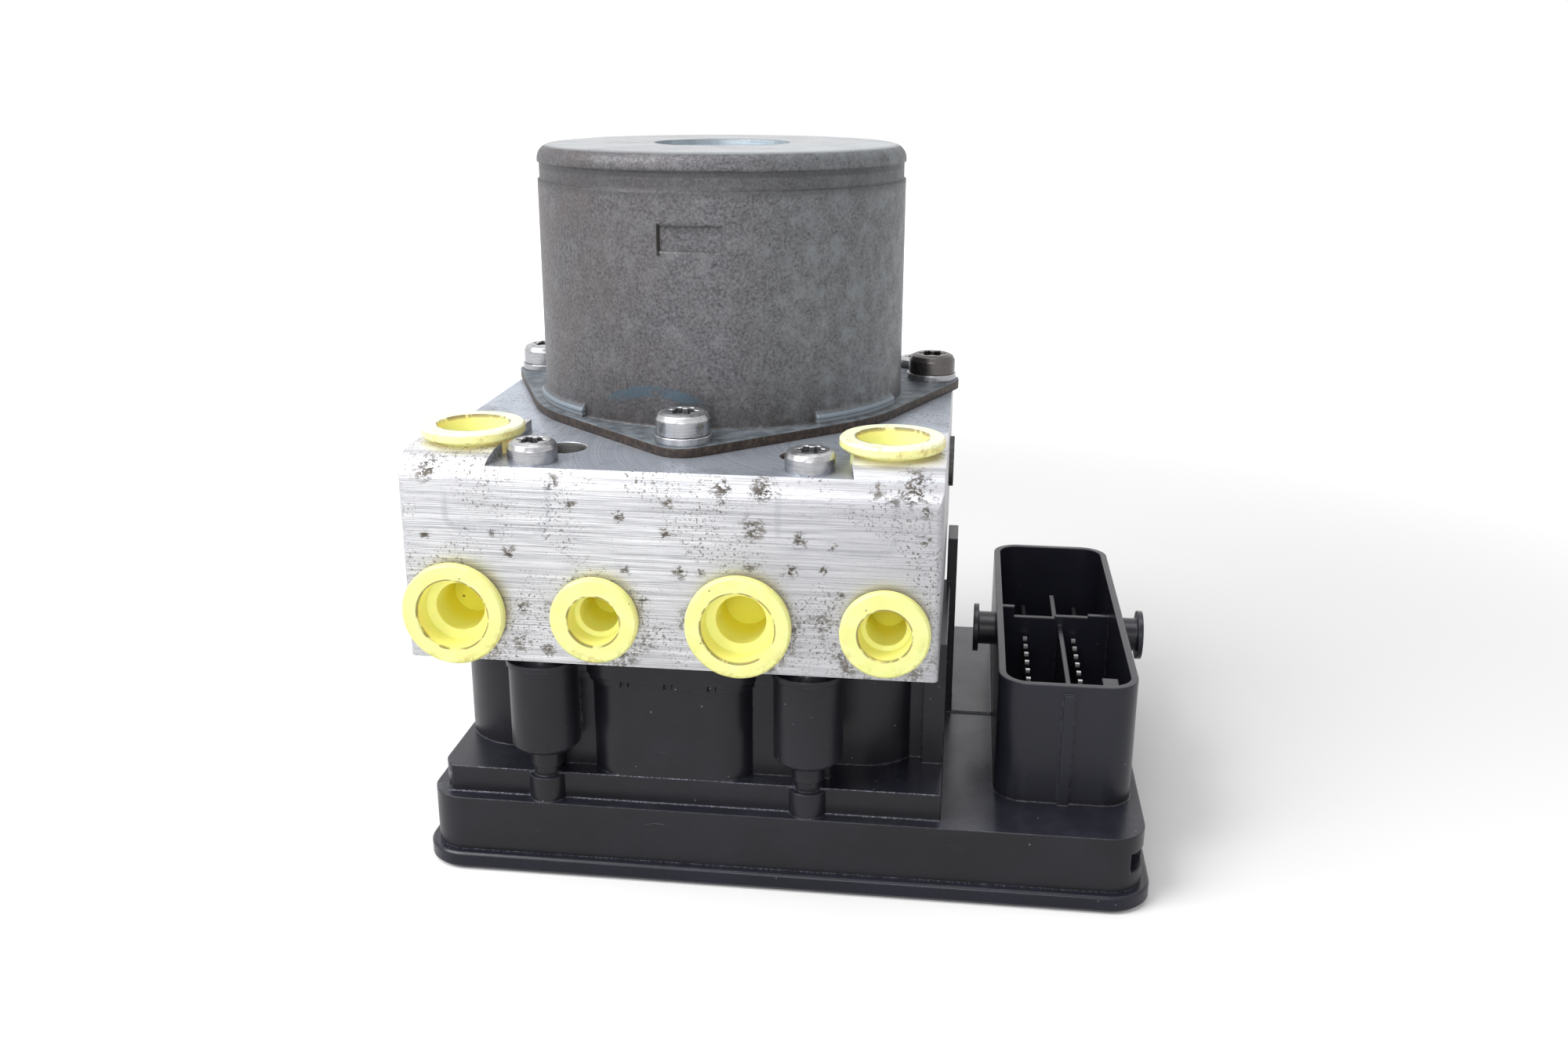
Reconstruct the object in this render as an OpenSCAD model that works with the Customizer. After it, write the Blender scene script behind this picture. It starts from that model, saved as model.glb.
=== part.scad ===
/* [Valve block] */
// Width of the aluminium valve block
block_w = 100; // [96:1:106]
// Depth of the block, front port face to rear face
block_d = 106; // [104:1:112]
// Height of the block from its underside to the machined motor face
block_h = 37.4; // [36:0.2:42]
// Radius of the long rounded edge at the top of the front face
front_round_r = 7; // [4:0.5:8]
// Radius on the block's upright edges
block_edge_r = 1.2; // [0.5:0.1:2]
// Width of each raised pad beside the recess
pad_w = 16.8; // [15:0.2:19]
// Depth of each raised pad from the front face
pad_d = 29.8; // [27:0.2:34]
// Height of the raised pads above the motor face
pad_rise = 2.2; // [1:0.1:4]
// How far the recess widens at the front edge
recess_flare = 1.2; // [0.5:0.1:2]
// Length of the widened stretch
recess_flare_l = 5; // [3:0.5:8]

/* [Ports] */
// Distance between neighbouring ports on the front face
port_pitch = 26.8; // [25:0.2:28]
// Height of the front ports above the block's underside
port_rise = 9.7; // [9.2:0.1:12]
// Distance of each top port from the block's middle
top_port_x = 39.9; // [38:0.1:41]
// Distance of the top ports behind the front face
top_port_inset = 14.6; // [12:0.2:17]
// Radius of the counterbore of a large port
large_seat_r = 7.75; // [7.2:0.05:8]
// Radius of the counterbore of a small port
small_seat_r = 5.85; // [5.4:0.05:6.5]
// Radius of a large port below its counterbore
large_port_r = 5.65; // [5:0.05:6.2]
// Radius of a small port below its counterbore
small_port_r = 4.65; // [4.2:0.05:5]
// Depth of the counterbores
seat_depth = 3; // [2:0.2:4]
// Depth of the ports
port_depth = 16; // [14:0.5:18]
// Radius of the passages that end the ports
passage_r = 1.5; // [1:0.1:2]
// Length of the passages
passage_l = 4; // [2:0.5:6]

/* [Transport plugs] */
// Flange radius of a large plug
large_flange_r = 9.8; // [9.2:0.1:10.4]
// Flange radius of a small plug
small_flange_r = 8.25; // [7.6:0.05:9]
// Thickness of the plug flanges
plug_flange_t = 2; // [1.4:0.1:2.6]
// Wall thickness of the plugs
plug_wall = 0.9; // [0.7:0.1:1.3]
// Gap under the plug flanges
plug_lift = 0.8; // [0.4:0.1:1.4]
// Length of a plug below the block face
plug_reach = 12; // [9:0.5:13]

/* [Motor] */
// Distance of the motor axis behind the front face
motor_inset = 66.2; // [65:0.2:68]
// Outside radius of the motor can
can_r = 38.8; // [37.5:0.1:40]
// Height of the can above the motor face
can_h = 54.5; // [50:0.5:62]
// Wall thickness of the can
can_wall = 2; // [1.5:0.1:2.4]
// Radius of the can's top edge
can_edge_r = 3; // [2:0.5:6]
// Radius of the sunk disc in the can's top
can_dish_r = 14.3; // [12.5:0.1:17]
// Depth of the sunk disc
can_dish_depth = 1; // [0.5:0.1:1.5]
// Depth of the rolled band below the top edge
can_band_depth = 0.4; // [0.1:0.05:0.5]
// Radius of the flange between its lugs
flange_r = 41.6; // [41:0.1:42.5]
// Thickness of the flange
flange_t = 1.9; // [1.5:0.1:2.6]
// Radius of the circle of motor screws
bolt_circle_r = 48; // [47:0.2:49]
// Radius of the lugs round the screws
lug_r = 6.2; // [5.8:0.1:7]
// Angle of a rear lug from the side
lug_angle = 20; // [18:1:24]
// How far the stiffening beads stand out of the can
bead_proud = 1.1; // [0.6:0.1:1.6]
// Height of the stiffening beads
bead_h = 2.6; // [1.5:0.1:3.5]
// Angle that each stiffening bead covers
bead_sweep = 36; // [20:2:44]
// Width of the stamped pocket in the can
pocket_w = 12.2; // [8:0.2:16]
// Height of the stamped pocket
pocket_h = 4.7; // [3:0.1:7]
// Height of the pocket's middle above the motor face
pocket_rise = 38.6; // [30:0.2:42]
// Depth of the pocket at its sides
pocket_depth = 0.45; // [0.1:0.05:0.7]

/* [Motor inside] */
// Radius of the motor shaft
shaft_r = 4; // [3.5:0.1:4.5]
// Air gap between the rotor core and the magnets
air_gap = 0.7; // [0.5:0.1:1.2]
// Length of the rotor core
core_l = 22; // [18:0.5:24]
// Number of slots in the rotor core
core_slots = 12; // [8:1:14]
// Thickness of the magnets
magnet_t = 6; // [4:0.5:7]
// Throw of the eccentric
throw = 0.8; // [0.5:0.05:1.1]
// Radius of the eccentric
cam_r = 6; // [5.8:0.1:6.5]
// Outside radius of the ring that runs on the eccentric
ring_r = 9; // [8.5:0.1:10]
// Outside radius of the shaft bearings
bearing_r = 8; // [7.5:0.1:9]
// Width of the shaft bearings
bearing_w = 5; // [4:0.5:6]
// Radius of the chamber round the eccentric
chamber_r = 14; // [13:0.5:15]

/* [Pump and accumulators] */
// Depth of the pump axis below the motor face
pump_drop = 13.1; // [12.5:0.1:14]
// Radius of the pump sleeves and of their plugs
sleeve_r = 5.5; // [5:0.1:6]
// Radius of the pump pistons
piston_r = 3; // [2.5:0.1:3.5]
// Length of the pump pistons
piston_l = 16; // [14:0.5:17]
// Thickness of the pump plugs
pump_plug_t = 8; // [6:0.5:10]
// How far the pump plugs stand out of the block
plug_proud = 1; // [0.2:0.1:1.5]
// Distance of each accumulator from the block's middle
store_x = 26; // [25.5:0.5:27]
// Radius of the accumulator bores
store_r = 10; // [9:0.2:10.4]
// Depth of the accumulator bores
store_depth = 24; // [22:0.5:26]
// Height of the accumulator axes above the block's underside
store_rise = 19.3; // [18:0.1:21]
// Thickness of the accumulator pistons
store_piston_t = 7; // [5:0.5:8]
// Thickness of the accumulator caps
store_cap_t = 4; // [3:0.5:5]

/* [Valves] */
// Distance between neighbouring valves across the block
valve_pitch = 22; // [21:0.5:22.5]
// Distance between the two rows of valves
row_pitch = 22; // [21:0.5:23]
// Distance of the inlet valves behind the front face
valve_inset = 30.2; // [30:0.2:32]
// Radius of the valve cartridges
valve_r = 5.2; // [4.8:0.1:5.6]
// Length of a cartridge inside the block
valve_l = 12.5; // [10:0.5:13]
// Radius of the valve domes
dome_r = 3.9; // [3.4:0.1:4.3]
// Length of the valve domes below the block
dome_l = 22; // [18:0.5:23]
// Outside radius of the coils
coil_r = 9.6; // [9:0.1:10]
// Height of the coils
coil_h = 17; // [14:0.5:18]
// Radius of the pressure sensor
sensor_r = 6.4; // [5.5:0.1:6.8]
// Length of the pressure sensor below the block
sensor_l = 21; // [16:0.5:23]

/* [Control unit] */
// Thickness of the bottom cover
cover_t = 3.7; // [3:0.1:4.5]
// How far the cover stands out round the tray
cover_lip = 1.6; // [1:0.1:2.2]
// Height of the tray
tray_h = 11.5; // [10:0.5:14]
// Height of the step on the tray
step_h = 5.5; // [4.5:0.5:7]
// Height of the collar round the coils
collar_h = 26; // [25.5:0.5:29]
// Clearance between the outer coils and the collar's wall
coil_clearance = 1.9; // [1.2:0.1:2.6]
// Width of the tray
tray_w = 140.8; // [139:0.2:143]
// Depth of the tray, front to back
tray_d = 105.8; // [104:0.2:108]
// Distance of the tray's left side from the block's middle
tray_left = 50.4; // [50:0.1:51]
// Distance of the tray's front behind the block's front face
tray_inset = 3.2; // [2.8:0.1:3.6]
// Radius of the tray's upright corners
tray_corner_r = 7; // [5:0.5:9]
// Wall thickness of the housing
wall = 2; // [1.6:0.1:2.4]
// Distance from the tray's front to the step's front
step_back = 2.9; // [2.2:0.1:3.4]
// Distance from the step's front to the collar's front
collar_back = 10.4; // [9.8:0.1:11]
// Distance from the step's front to the wall between the front bosses
front_wall_back = 4; // [3:0.1:5]
// Width of the bulge in that wall
bulge_w = 33.2; // [31:0.2:34]
// How far the bulge's middle lies to the right of the block's middle
bulge_shift = -1.4; // [-2:0.1:2]
// Corner radius of the collar
collar_corner_r = 12; // [9:0.5:14]
// Corner radius of the bulge
bulge_corner_r = 7.5; // [5:0.5:9]
// Height of the rim at the collar's top
rim_h = 6.6; // [5:0.2:9]
// How far the rim stands out
rim_proud = 1.6; // [1:0.1:1.8]
// Height of the narrower lower part of the rim
rim_step_h = 1.6; // [1:0.1:2.5]
// Distance between neighbouring notches under the rim
notch_pitch = 8.5; // [7:0.5:10]
// How far the step and the wing stand out past the block's side
wing_out = 1.3; // [1:0.1:1.6]
// Length of the wing that joins the collar to the step's side
wing_l = 38; // [34:1:42]
// Height of the fin beside the block, above the tray
fin_h = 41; // [36:1:50]
// Length of the fin
fin_l = 10; // [8:1:14]
// Thickness of the fin
fin_t = 2.1; // [1.5:0.1:2.4]
// Gap between the fin and the block's side
fin_gap = 0.5; // [0.4:0.1:1.1]

/* [Housing screws] */
// Half the distance between the front housing screws
screw_x = 25.9; // [25.4:0.1:26.5]
// How far the pair of them lies to the right of the block's middle
screw_shift = -0.4; // [-0.6:0.1:0.6]
// Distance of the front housing screws behind the front face
screw_inset = 7.2; // [6.8:0.1:8]
// Distance of the rear housing screws from the middle
rear_screw_x = 41; // [40:0.2:42]
// Distance of the rear housing screws before the rear face
rear_screw_inset = 8.2; // [7:0.2:9]
// Shank radius of the housing screws
screw_r = 2.5; // [2.2:0.1:2.7]
// Head radius of the housing screws
screw_head_r = 4.7; // [4.4:0.1:5]
// Head height of the housing screws
screw_head_h = 3.9; // [3.2:0.1:4.5]
// Outside radius of the bosses
boss_r = 6.7; // [6:0.1:7]
// Height of the bosses
boss_h = 18.8; // [17:0.2:20]
// Radius of the threaded inserts
insert_r = 4; // [3.6:0.1:4.4]
// Height of the narrow neck under a front boss
neck_h = 4; // [3:0.2:5]
// Radius of the half-round foot below the neck
foot_r = 3.8; // [3:0.1:4.2]
// Length of the threaded inserts below the bosses' tops
insert_h = 11; // [8:0.5:14]

/* [Motor screws] */
// Shank radius of the motor screws
motor_screw_r = 3; // [2.6:0.1:3.2]
// Head radius of the motor screws
motor_head_r = 5.2; // [4.8:0.1:5.6]
// Head height of the motor screws
motor_head_h = 4.3; // [3.6:0.1:5]
// Thickness of the washers
washer_t = 1.5; // [1:0.1:2]
// Length of the motor screws inside the block
motor_screw_l = 14; // [10:0.5:18]

/* [Connector] */
// Width of the connector shroud
plug_box_w = 27; // [26:0.2:28]
// Length of the connector shroud
plug_box_l = 86.3; // [82:0.5:88]
// Height of the shroud above the tray
plug_box_h = 25.2; // [22:0.2:28]
// Distance from the tray's right side to the shroud
plug_box_margin = 1.8; // [1.4:0.1:3]
// Distance from the tray's front to the shroud
plug_box_back = 12.9; // [11:0.1:14]
// Corner radius of the shroud
plug_box_corner_r = 6; // [4:0.5:7]
// Wall thickness of the shroud
plug_box_wall = 1.4; // [1.2:0.1:2.2]
// Radius of the studs that the plug's lever turns on
stud_r = 3.65; // [3:0.05:4]
// Radius of the stud heads
stud_head_r = 5.3; // [4.6:0.1:6]
// Distance between neighbouring contact pins
pin_pitch = 4.6; // [4:0.1:5]
// Number of contact pins in a row
pin_count = 9; // [6:1:10]
// Distance between the two rows of contact pins
pin_row_gap = 10.8; // [9:0.2:12]
// Side of a contact pin
pin_side = 0.9; // [0.6:0.1:1.2]
// Height of the contact pins above the tray
pin_rise = 15.2; // [12:0.2:16.4]
// Distance from the shroud's front to its cross wall
divider_back = 51.5; // [50:0.5:54]
// Height of the cross wall above the tray
divider_h = 19.3; // [17:0.1:21]
// Width of the raised end of the cross wall
ledge_w = 3; // [2.4:0.1:4]
// Rise of that end above the cross wall
ledge_rise = 2.4; // [1.6:0.1:3]
// Length of the rib behind the cross wall
rear_rib_l = 14; // [8:1:20]
// Width of the rib on the shroud's front
outer_rib_w = 2.1; // [1.6:0.1:3]

/* [Hidden] */
$fn = 64;

// Small overlap that makes cuts run clear of a face
cut = 0.5;
// Radial clearance of a piece that sits or runs in a bore
fit = 0.03;
// Gap between neighbouring pieces that don't touch
gap = 0.3;
// Glue line behind the magnets
glue = 0.1;

// Everything that repeats left and right
sides = [-1, 1];

// Heights, from the cover's underside at zero
tray_z = cover_t;
tray_top = tray_z + tray_h;
step_top = tray_top + step_h;
block_z = step_top + collar_h;
face_z = block_z + block_h;
pad_z = face_z + pad_rise;
flange_top = face_z + flange_t;
can_top = face_z + can_h;
pump_z = face_z - pump_drop;
store_z = block_z + store_rise;

// Places front to back, from the motor axis at zero
front_y = -motor_inset;
back_y = front_y + block_d;
screw_y = front_y + screw_inset;
rear_screw_y = back_y - rear_screw_inset;
tray_y = front_y + tray_inset;
tray_back = tray_y + tray_d;
step_y = tray_y + step_back;
front_wall_y = step_y + front_wall_back;
collar_y = step_y + collar_back;
top_port_y = front_y + top_port_inset;
inlet_y = front_y + valve_inset;
outlet_y = inlet_y + row_pitch;

// Outline of the step and the collar, whose right wall runs past the outer coils
step_left_in = 2.5;
step_rear_in = 4;
boss_bite = 0.8;
front_wall_in = 3.4;
tray_x0 = -tray_left;
tray_x1 = tray_x0 + tray_w;
step_x0 = tray_x0 + step_left_in;
step_x1 = block_w / 2 + wing_out;
step_back_y = tray_back - step_rear_in;
step_corner_r = 4;
ridge_h = 0.4;
collar_x0 = step_x0;
collar_x1 = 1.5 * valve_pitch + coil_r + coil_clearance + wall;
collar_back_y = rear_screw_y - boss_r + boss_bite;
rim_z = block_z - gap - rim_h;
notch_r = 0.9;
notch_x = -1.4;

// Seal in the rim's top
seal_w = 1.4;
seal_depth = 1.1;
seal_inset = 0.4;

// Wing between the collar and the step's side, and the fin behind it
wing_w = 4.3;
wing_back = 2.8;
web_back = 2.5;
wing_y = collar_y + wing_back;
web_y = wing_y + web_back;
fin_x = block_w / 2 + fin_gap;
fin_y = -10;

// Counterbored hole beside each front housing screw
channel_x = 23;
channel_back = 9.8;
channel_y = screw_y + channel_back;
channel_r = 4.4;
channel_depth = 9;
channel_z = face_z - channel_depth;
channel_plug_t = 4;

// Threads for the mounting bracket in the rear face
bracket_x = 11.5;
bracket_rise = 8.3;
bracket_r = 3.4;
bracket_depth = 12;

// Section of the can
can_in_r = can_r - can_wall;
can_band_h = 3.6;
can_band_drop = 0.1;
can_band_z = can_top - can_edge_r - can_band_drop - can_band_depth - can_band_h;
pocket_y = -sqrt(can_r * can_r - pocket_w * pocket_w / 4) + pocket_depth;
seat_wall = 1.6;

// Inside of the motor, its rotor hung from the upper bearing
upper_bearing_z = can_top - can_wall - can_dish_depth - bearing_w;
plate_t = 2.8;
plate_z = face_z + gap;
plate_top = plate_z + plate_t;
magnet_r = can_in_r - glue;
magnet_sweep = 74;
magnet_over = 2;
winding_h = 4.5;
winding_in = 2.5;
core_r = magnet_r - magnet_t - air_gap;
core_bore_r = shaft_r + fit;
core_z = upper_bearing_z - winding_h - core_l;
slot_depth = 6;
slot_round_r = 2.4;
slot_mouth_w = 1.8;
winding_r = core_r - winding_in;
comm_r = 9;
comm_l = 8;
comm_z = plate_top + 0.5;
comm_gap = 1;
comm_slit_w = 0.5;
brush_w = 5;
brush_h = 4.8;
brush_l = 11;
brush_wear = 5;
brush_z = comm_z + 1;
brush_in = comm_r + fit;
brush_out = brush_in + brush_l;
holder_x = brush_in + 3;
holder_l = 8;
holder_wall = 1.5;
contact_x = 5;
contact_y = -25.2;
contact_r = 0.9;

// Drive of the pump below the motor, with its bearing in the end plate's hub
hub_depth = 7;
hub_z = face_z - hub_depth;
hub_r = chamber_r - fit;
lower_bearing_z = hub_z + 1.4;
race_w = 1.2;
race_depth = 0.4;
cam_h = 9;
ring_h = 8;
shaft_end_z = pump_z - 7;
chamber_z = pump_z - 9;

// Pump, outwards from the motor axis
sleeve_inset = 0.6;
spring_play = 0.1;
spring_wire_r = 0.45;
spring_turns = 5;
piston_edge = 0.8;
plug_recess = 1;
piston_x0 = ring_r + throw + fit;
piston_x1 = piston_x0 + piston_l;
sleeve_x0 = chamber_r + sleeve_inset;
plug_x0 = block_w / 2 + plug_proud - pump_plug_t;

// Accumulators, from the bore's inner end to the rear face
store_play = 1;
store_cap_proud = 0.6;
store_cap_recess = 1.2;
store_cup_floor = 2.5;
store_cup_wall = 1.6;
store_wire_r = 0.8;
store_turns = 4;
breather_r = 0.8;
store_y0 = back_y - store_depth;
store_piston_y = store_y0 + store_play;
store_spring_y = store_piston_y + store_cup_floor + spring_play;
store_spring_r = store_r - store_cup_wall - store_wire_r - 1;
store_cap_y = back_y - store_cap_t + store_cap_proud;

// Valves, coils and their terminals
valve_xs = [for (i = [0:3]) (i - 1.5) * valve_pitch];
valve_cap_t = 1.8;
valve_cap_r = valve_r + 1.2;
coil_z = block_z - valve_cap_t - gap - coil_h;
coil_flange_t = 2;
coil_flange_w = 0.8;
terminal_r = 0.5;
terminal_dx = 3;
terminal_dy = 6;
sensor_y = step_y + wall + sensor_r + 0.6;
sensor_head_h = 8;
sensor_neck = 0.8;
sensor_stub_r = 4;
sensor_stub_l = 6;

// Board in the tray, its chips, and the posts that hold it down
board_t = 1.6;
board_lift = 2.5;
board_gap = 1.2;
board_z = tray_z + board_lift;
board_top = board_z + board_t;
chip_h = 2;
chips = [[-20, 22, 26], [18, 24, 14], [52, -20, 12]];
post_r = 2.5;
post_inset = 12;

// Slot in the tray's front right corner
slot_z = tray_z + 3.7;
slot_h = 4.1;
slot_in = 2.8;
slot_l = 9;

// Screws, inserts and bosses
screw_bore_r = screw_r + 0.3;
insert_proud = 1.5;
insert_z = block_z - insert_proud - insert_h;
boss_top = block_z - insert_proud;
boss_z = boss_top - boss_h;
boss_edge = 1;
boss_lip = 0.4;
boss_lip_h = 1.2;
neck_r = 3.2;
groove_r = 2.7;
foot_z = step_top - 0.4;
web_half = 4;
screw_l = block_h + insert_h - 1;
washer_r = motor_head_r + 0.3;

// Connector shroud
box_x1 = tray_x1 - plug_box_margin;
box_x0 = box_x1 - plug_box_w;
box_y0 = tray_y + plug_box_back;
box_y1 = box_y0 + plug_box_l;
box_top = tray_top + plug_box_h;
box_floor = tray_top + wall;
box_mid_x = (box_x0 + box_x1) / 2;
divider_y = box_y0 + divider_back;
divider_t = 1.3;
divider_top = tray_top + divider_h;
shelf_w = 4.7;
shelf_rise = 0.5;
rib_w = 1;
rib_x = box_mid_x + 1.2;
rib_top = divider_top - 1.6;
key_rib_w = 3.1;
key_rib_l = 9;
key_rib_in = 2;
key_rib_top = box_top - 2.4;
stud_back = 43.9;
stud_rise = 19.3;
stud_y = box_y0 + stud_back;
stud_z = tray_top + stud_rise;
stud_neck = 3.7;
stud_head_t = 1.1;
outer_rib_proud = 0.8;
outer_rib_h = plug_box_h - 1.8;

// Contacts in the connector
pins_x = box_mid_x - 1.1;
pins_y = divider_y - 2 - (pin_count - 1) * pin_pitch;
pin_top = tray_top + pin_rise;
blade_w = 6.3;
blade_t = 0.8;
blade_dx = 6;
blade_pitch = 12;
blade_top = pin_top - 2;
blade_ys = [divider_y + 0.75 * blade_pitch, divider_y + 1.75 * blade_pitch];

// Lower edge, upper edge and inner rib of the cover
cover_edge = 0.9;
cover_round = 0.4;
cover_rib_h = board_lift;

// Motor screws, stiffening beads and housing screws in plan
lugs = [
    bolt_circle_r * [0, -1],
    bolt_circle_r * [cos(lug_angle), sin(lug_angle)],
    bolt_circle_r * [-cos(lug_angle), sin(lug_angle)]
];
bead_angles = [90, -90 + (90 + lug_angle) / 2, -90 - (90 + lug_angle) / 2];
housing_screws_at = [
    [screw_shift - screw_x, screw_y], [screw_shift + screw_x, screw_y],
    [-rear_screw_x, rear_screw_y], [rear_screw_x, rear_screw_y]
];

// Rounded rectangle from its four sides and its corner radius
module rounded_rect(x0, x1, y0, y1, r) {
    translate([x0 + r, y0]) square([x1 - x0 - 2 * r, y1 - y0]);
    translate([x0, y0 + r]) square([x1 - x0, y1 - y0 - 2 * r]);
    for (x = [x0 + r, x1 - r], y = [y0 + r, y1 - r]) translate([x, y]) circle(r);
}

// Upright prism of a rounded rectangle
module slab(x0, x1, y0, y1, r, z0, z1) {
    translate([0, 0, z0]) linear_extrude(z1 - z0) rounded_rect(x0, x1, y0, y1, r);
}

// Box from two opposite corners
module box(a, b) {
    translate(a) cube(b - a);
}

// Cylinder along X from x0 to x1
module x_rod(x0, x1, y, z, r) {
    translate([x0, y, z]) rotate([0, 90, 0]) cylinder(h = x1 - x0, r = r);
}

// Cylinder along Y from y0 to y1
module y_rod(y0, y1, x, z, r) {
    translate([x, y0, z]) rotate([-90, 0, 0]) cylinder(h = y1 - y0, r = r);
}

// Cylinder along Z from z0 to z1
module z_rod(z0, z1, x, y, r) {
    translate([x, y, z0]) cylinder(h = z1 - z0, r = r);
}

// Six-lobed driver socket, cut downwards from the top of a head
module driver_socket(r, depth) {
    translate([0, 0, -depth]) cylinder(h = depth + cut, r = 0.72 * r);
    for (a = [0:60:300]) rotate(a) translate([0.76 * r, 0, -depth]) cylinder(h = depth + cut, r = 0.24 * r);
}

// Pan-head screw, its head standing on zero and its shank below
module pan_screw(head_r, head_h, shank_r, shank_l) {
    crown = 0.32 * head_h;
    difference() {
        rotate_extrude() polygon([
            [0, -shank_l], [shank_r - 0.6, -shank_l], [shank_r, -shank_l + 0.6], [shank_r, 0],
            [head_r, 0], [head_r, head_h - crown], [head_r - 0.35 * crown, head_h - 0.3 * crown],
            [head_r - crown, head_h], [0, head_h]
        ]);
        translate([0, 0, head_h]) driver_socket(0.6 * head_r, 0.6 * head_h);
    }
}

// One tube bent into a helix that stands on zero
module coil_spring(r, wire_r, length, turns) {
    steps = turns * 16;
    ring_sides = 6;
    rise = length - 2 * wire_r;
    points = [
        for (i = [0:steps], k = [0:ring_sides - 1])
            let (a = 360 * i * turns / steps, b = 360 * k / ring_sides, q = r + wire_r * cos(b))
                [q * cos(a), q * sin(a), wire_r + rise * i / steps + wire_r * sin(b)]
    ];
    walls = [
        for (i = [0:steps - 1], k = [0:ring_sides - 1])
            let (n = (k + 1) % ring_sides, a = i * ring_sides, b = a + ring_sides)
                each [[a + k, b + n, b + k], [a + k, a + n, b + n]]
    ];
    first = [[for (k = [0:ring_sides - 1]) ring_sides - 1 - k]];
    last = [[for (k = [0:ring_sides - 1]) steps * ring_sides + k]];
    polyhedron(points, concat(walls, first, last), convexity = 6);
}

// Stepped port, cut downwards from the surface it opens in
module port_cut(seat_r, port_r) {
    translate([0, 0, -seat_depth]) cylinder(h = seat_depth + cut, r = seat_r);
    translate([0, 0, -port_depth]) cylinder(h = port_depth, r = port_r);
    translate([0, 0, -port_depth - passage_l]) cylinder(h = passage_l + cut, r = passage_r);
}

// Hollow transport plug, seated on the floor of a port's counterbore
module transport_plug(flange_r, seat_r, port_r) {
    body_r = seat_r - fit;
    shank_r = port_r - fit;
    mouth_r = body_r - plug_wall;
    inner_r = shank_r - plug_wall;
    face = plug_lift + plug_flange_t;
    edge = 0.4;
    step_z = -seat_depth + 1.4;
    bottom = -plug_reach;
    rotate_extrude() polygon([
        [0, bottom], [shank_r - edge, bottom], [shank_r, bottom + edge], [shank_r, -seat_depth],
        [body_r, -seat_depth], [body_r, plug_lift],
        [flange_r - edge, plug_lift], [flange_r, plug_lift + edge],
        [flange_r, face - edge], [flange_r - edge, face],
        [mouth_r, face], [mouth_r - 0.3, step_z],
        [inner_r, step_z - edge], [inner_r - edge, bottom + plug_wall], [0, bottom + plug_wall]
    ]);
}

// Places a child on a front port, its axis towards the front
module at_front_port(i) {
    translate([(i - 2.5) * port_pitch, front_y, block_z + port_rise]) rotate([90, 0, 0]) children();
}

// Places a child on a top port
module at_top_port(side) {
    translate([side * top_port_x, top_port_y, pad_z]) children();
}

// Side view of the block: a rectangle with the front top edge rounded
module block_profile() {
    difference() {
        translate([front_y, block_z]) square([block_d, pad_z - block_z]);
        translate([front_y, pad_z - front_round_r]) difference() {
            translate([-cut, 0]) square([front_round_r + cut, front_round_r + cut]);
            translate([front_round_r, 0]) circle(front_round_r);
        }
    }
}

// Plan of the milled face between and behind the two pads
module recess_plan() {
    inner = block_w / 2 - pad_w;
    flare_y = front_y + recess_flare_l;
    translate([-inner, front_y - cut]) square([2 * inner, block_d + 2 * cut]);
    translate([-block_w / 2 - cut, front_y + pad_d]) square([block_w + 2 * cut, block_d]);
    polygon([
        [-inner - recess_flare, front_y - cut], [inner + recess_flare, front_y - cut],
        [inner, flare_y], [-inner, flare_y]
    ]);
}

// Milled block with every bore that opens in it
module valve_block() {
    color("gainsboro") difference() {
        intersection() {
            translate([-block_w / 2, 0, 0]) rotate([90, 0, 90]) linear_extrude(block_w) block_profile();
            slab(-block_w / 2, block_w / 2, front_y, back_y, block_edge_r, block_z, pad_z);
        }
        translate([0, 0, face_z]) linear_extrude(pad_rise + cut) recess_plan();
        for (i = [1, 3]) at_front_port(i) port_cut(large_seat_r, large_port_r);
        for (i = [2, 4]) at_front_port(i) port_cut(small_seat_r, small_port_r);
        for (s = sides) at_top_port(s) port_cut(large_seat_r, large_port_r);
        z_rod(chamber_z, face_z + cut, 0, 0, chamber_r);
        for (p = lugs) z_rod(face_z - motor_screw_l - 3, face_z + cut, p.x, p.y, motor_screw_r + fit);
        for (p = housing_screws_at) z_rod(block_z - cut, pad_z + cut, p.x, p.y, screw_bore_r);
        for (s = sides) {
            z_rod(channel_z, face_z + cut, s * channel_x, channel_y, channel_r);
            y_rod(store_y0, back_y + cut, s * store_x, store_z, store_r);
            y_rod(back_y - bracket_depth, back_y + cut, s * bracket_x, block_z + bracket_rise, bracket_r);
            z_rod(block_z - cut, face_z, s * contact_x, contact_y, contact_r + gap);
        }
        x_rod(-block_w / 2 - cut, block_w / 2 + cut, 0, pump_z, sleeve_r + fit);
        for (x = valve_xs, y = [inlet_y, outlet_y])
            z_rod(block_z - cut, block_z + valve_l + 1, x, y, valve_r + fit);
        z_rod(block_z - cut, block_z + sensor_stub_l + 1, 0, sensor_y, sensor_stub_r + fit);
    }
}

// Pressed plugs at the foot of the two holes beside the front housing screws
module channel_plugs() {
    color("dimgray") for (s = sides) difference() {
        z_rod(channel_z, channel_z + channel_plug_t, s * channel_x, channel_y, channel_r - fit);
        translate([s * channel_x, channel_y, channel_z + channel_plug_t]) sphere(0.45 * channel_r);
    }
}

// Plug of the front port that is counted from the left
module front_plug(i) {
    color("yellow") at_front_port(i)
        if (i % 2 == 1) transport_plug(large_flange_r, large_seat_r, large_port_r);
        else transport_plug(small_flange_r, small_seat_r, small_port_r);
}

module front_plug_1() { front_plug(1); }
module front_plug_2() { front_plug(2); }
module front_plug_3() { front_plug(3); }
module front_plug_4() { front_plug(4); }

module top_plug_left() {
    color("yellow") at_top_port(-1) transport_plug(large_flange_r, large_seat_r, large_port_r);
}

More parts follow.
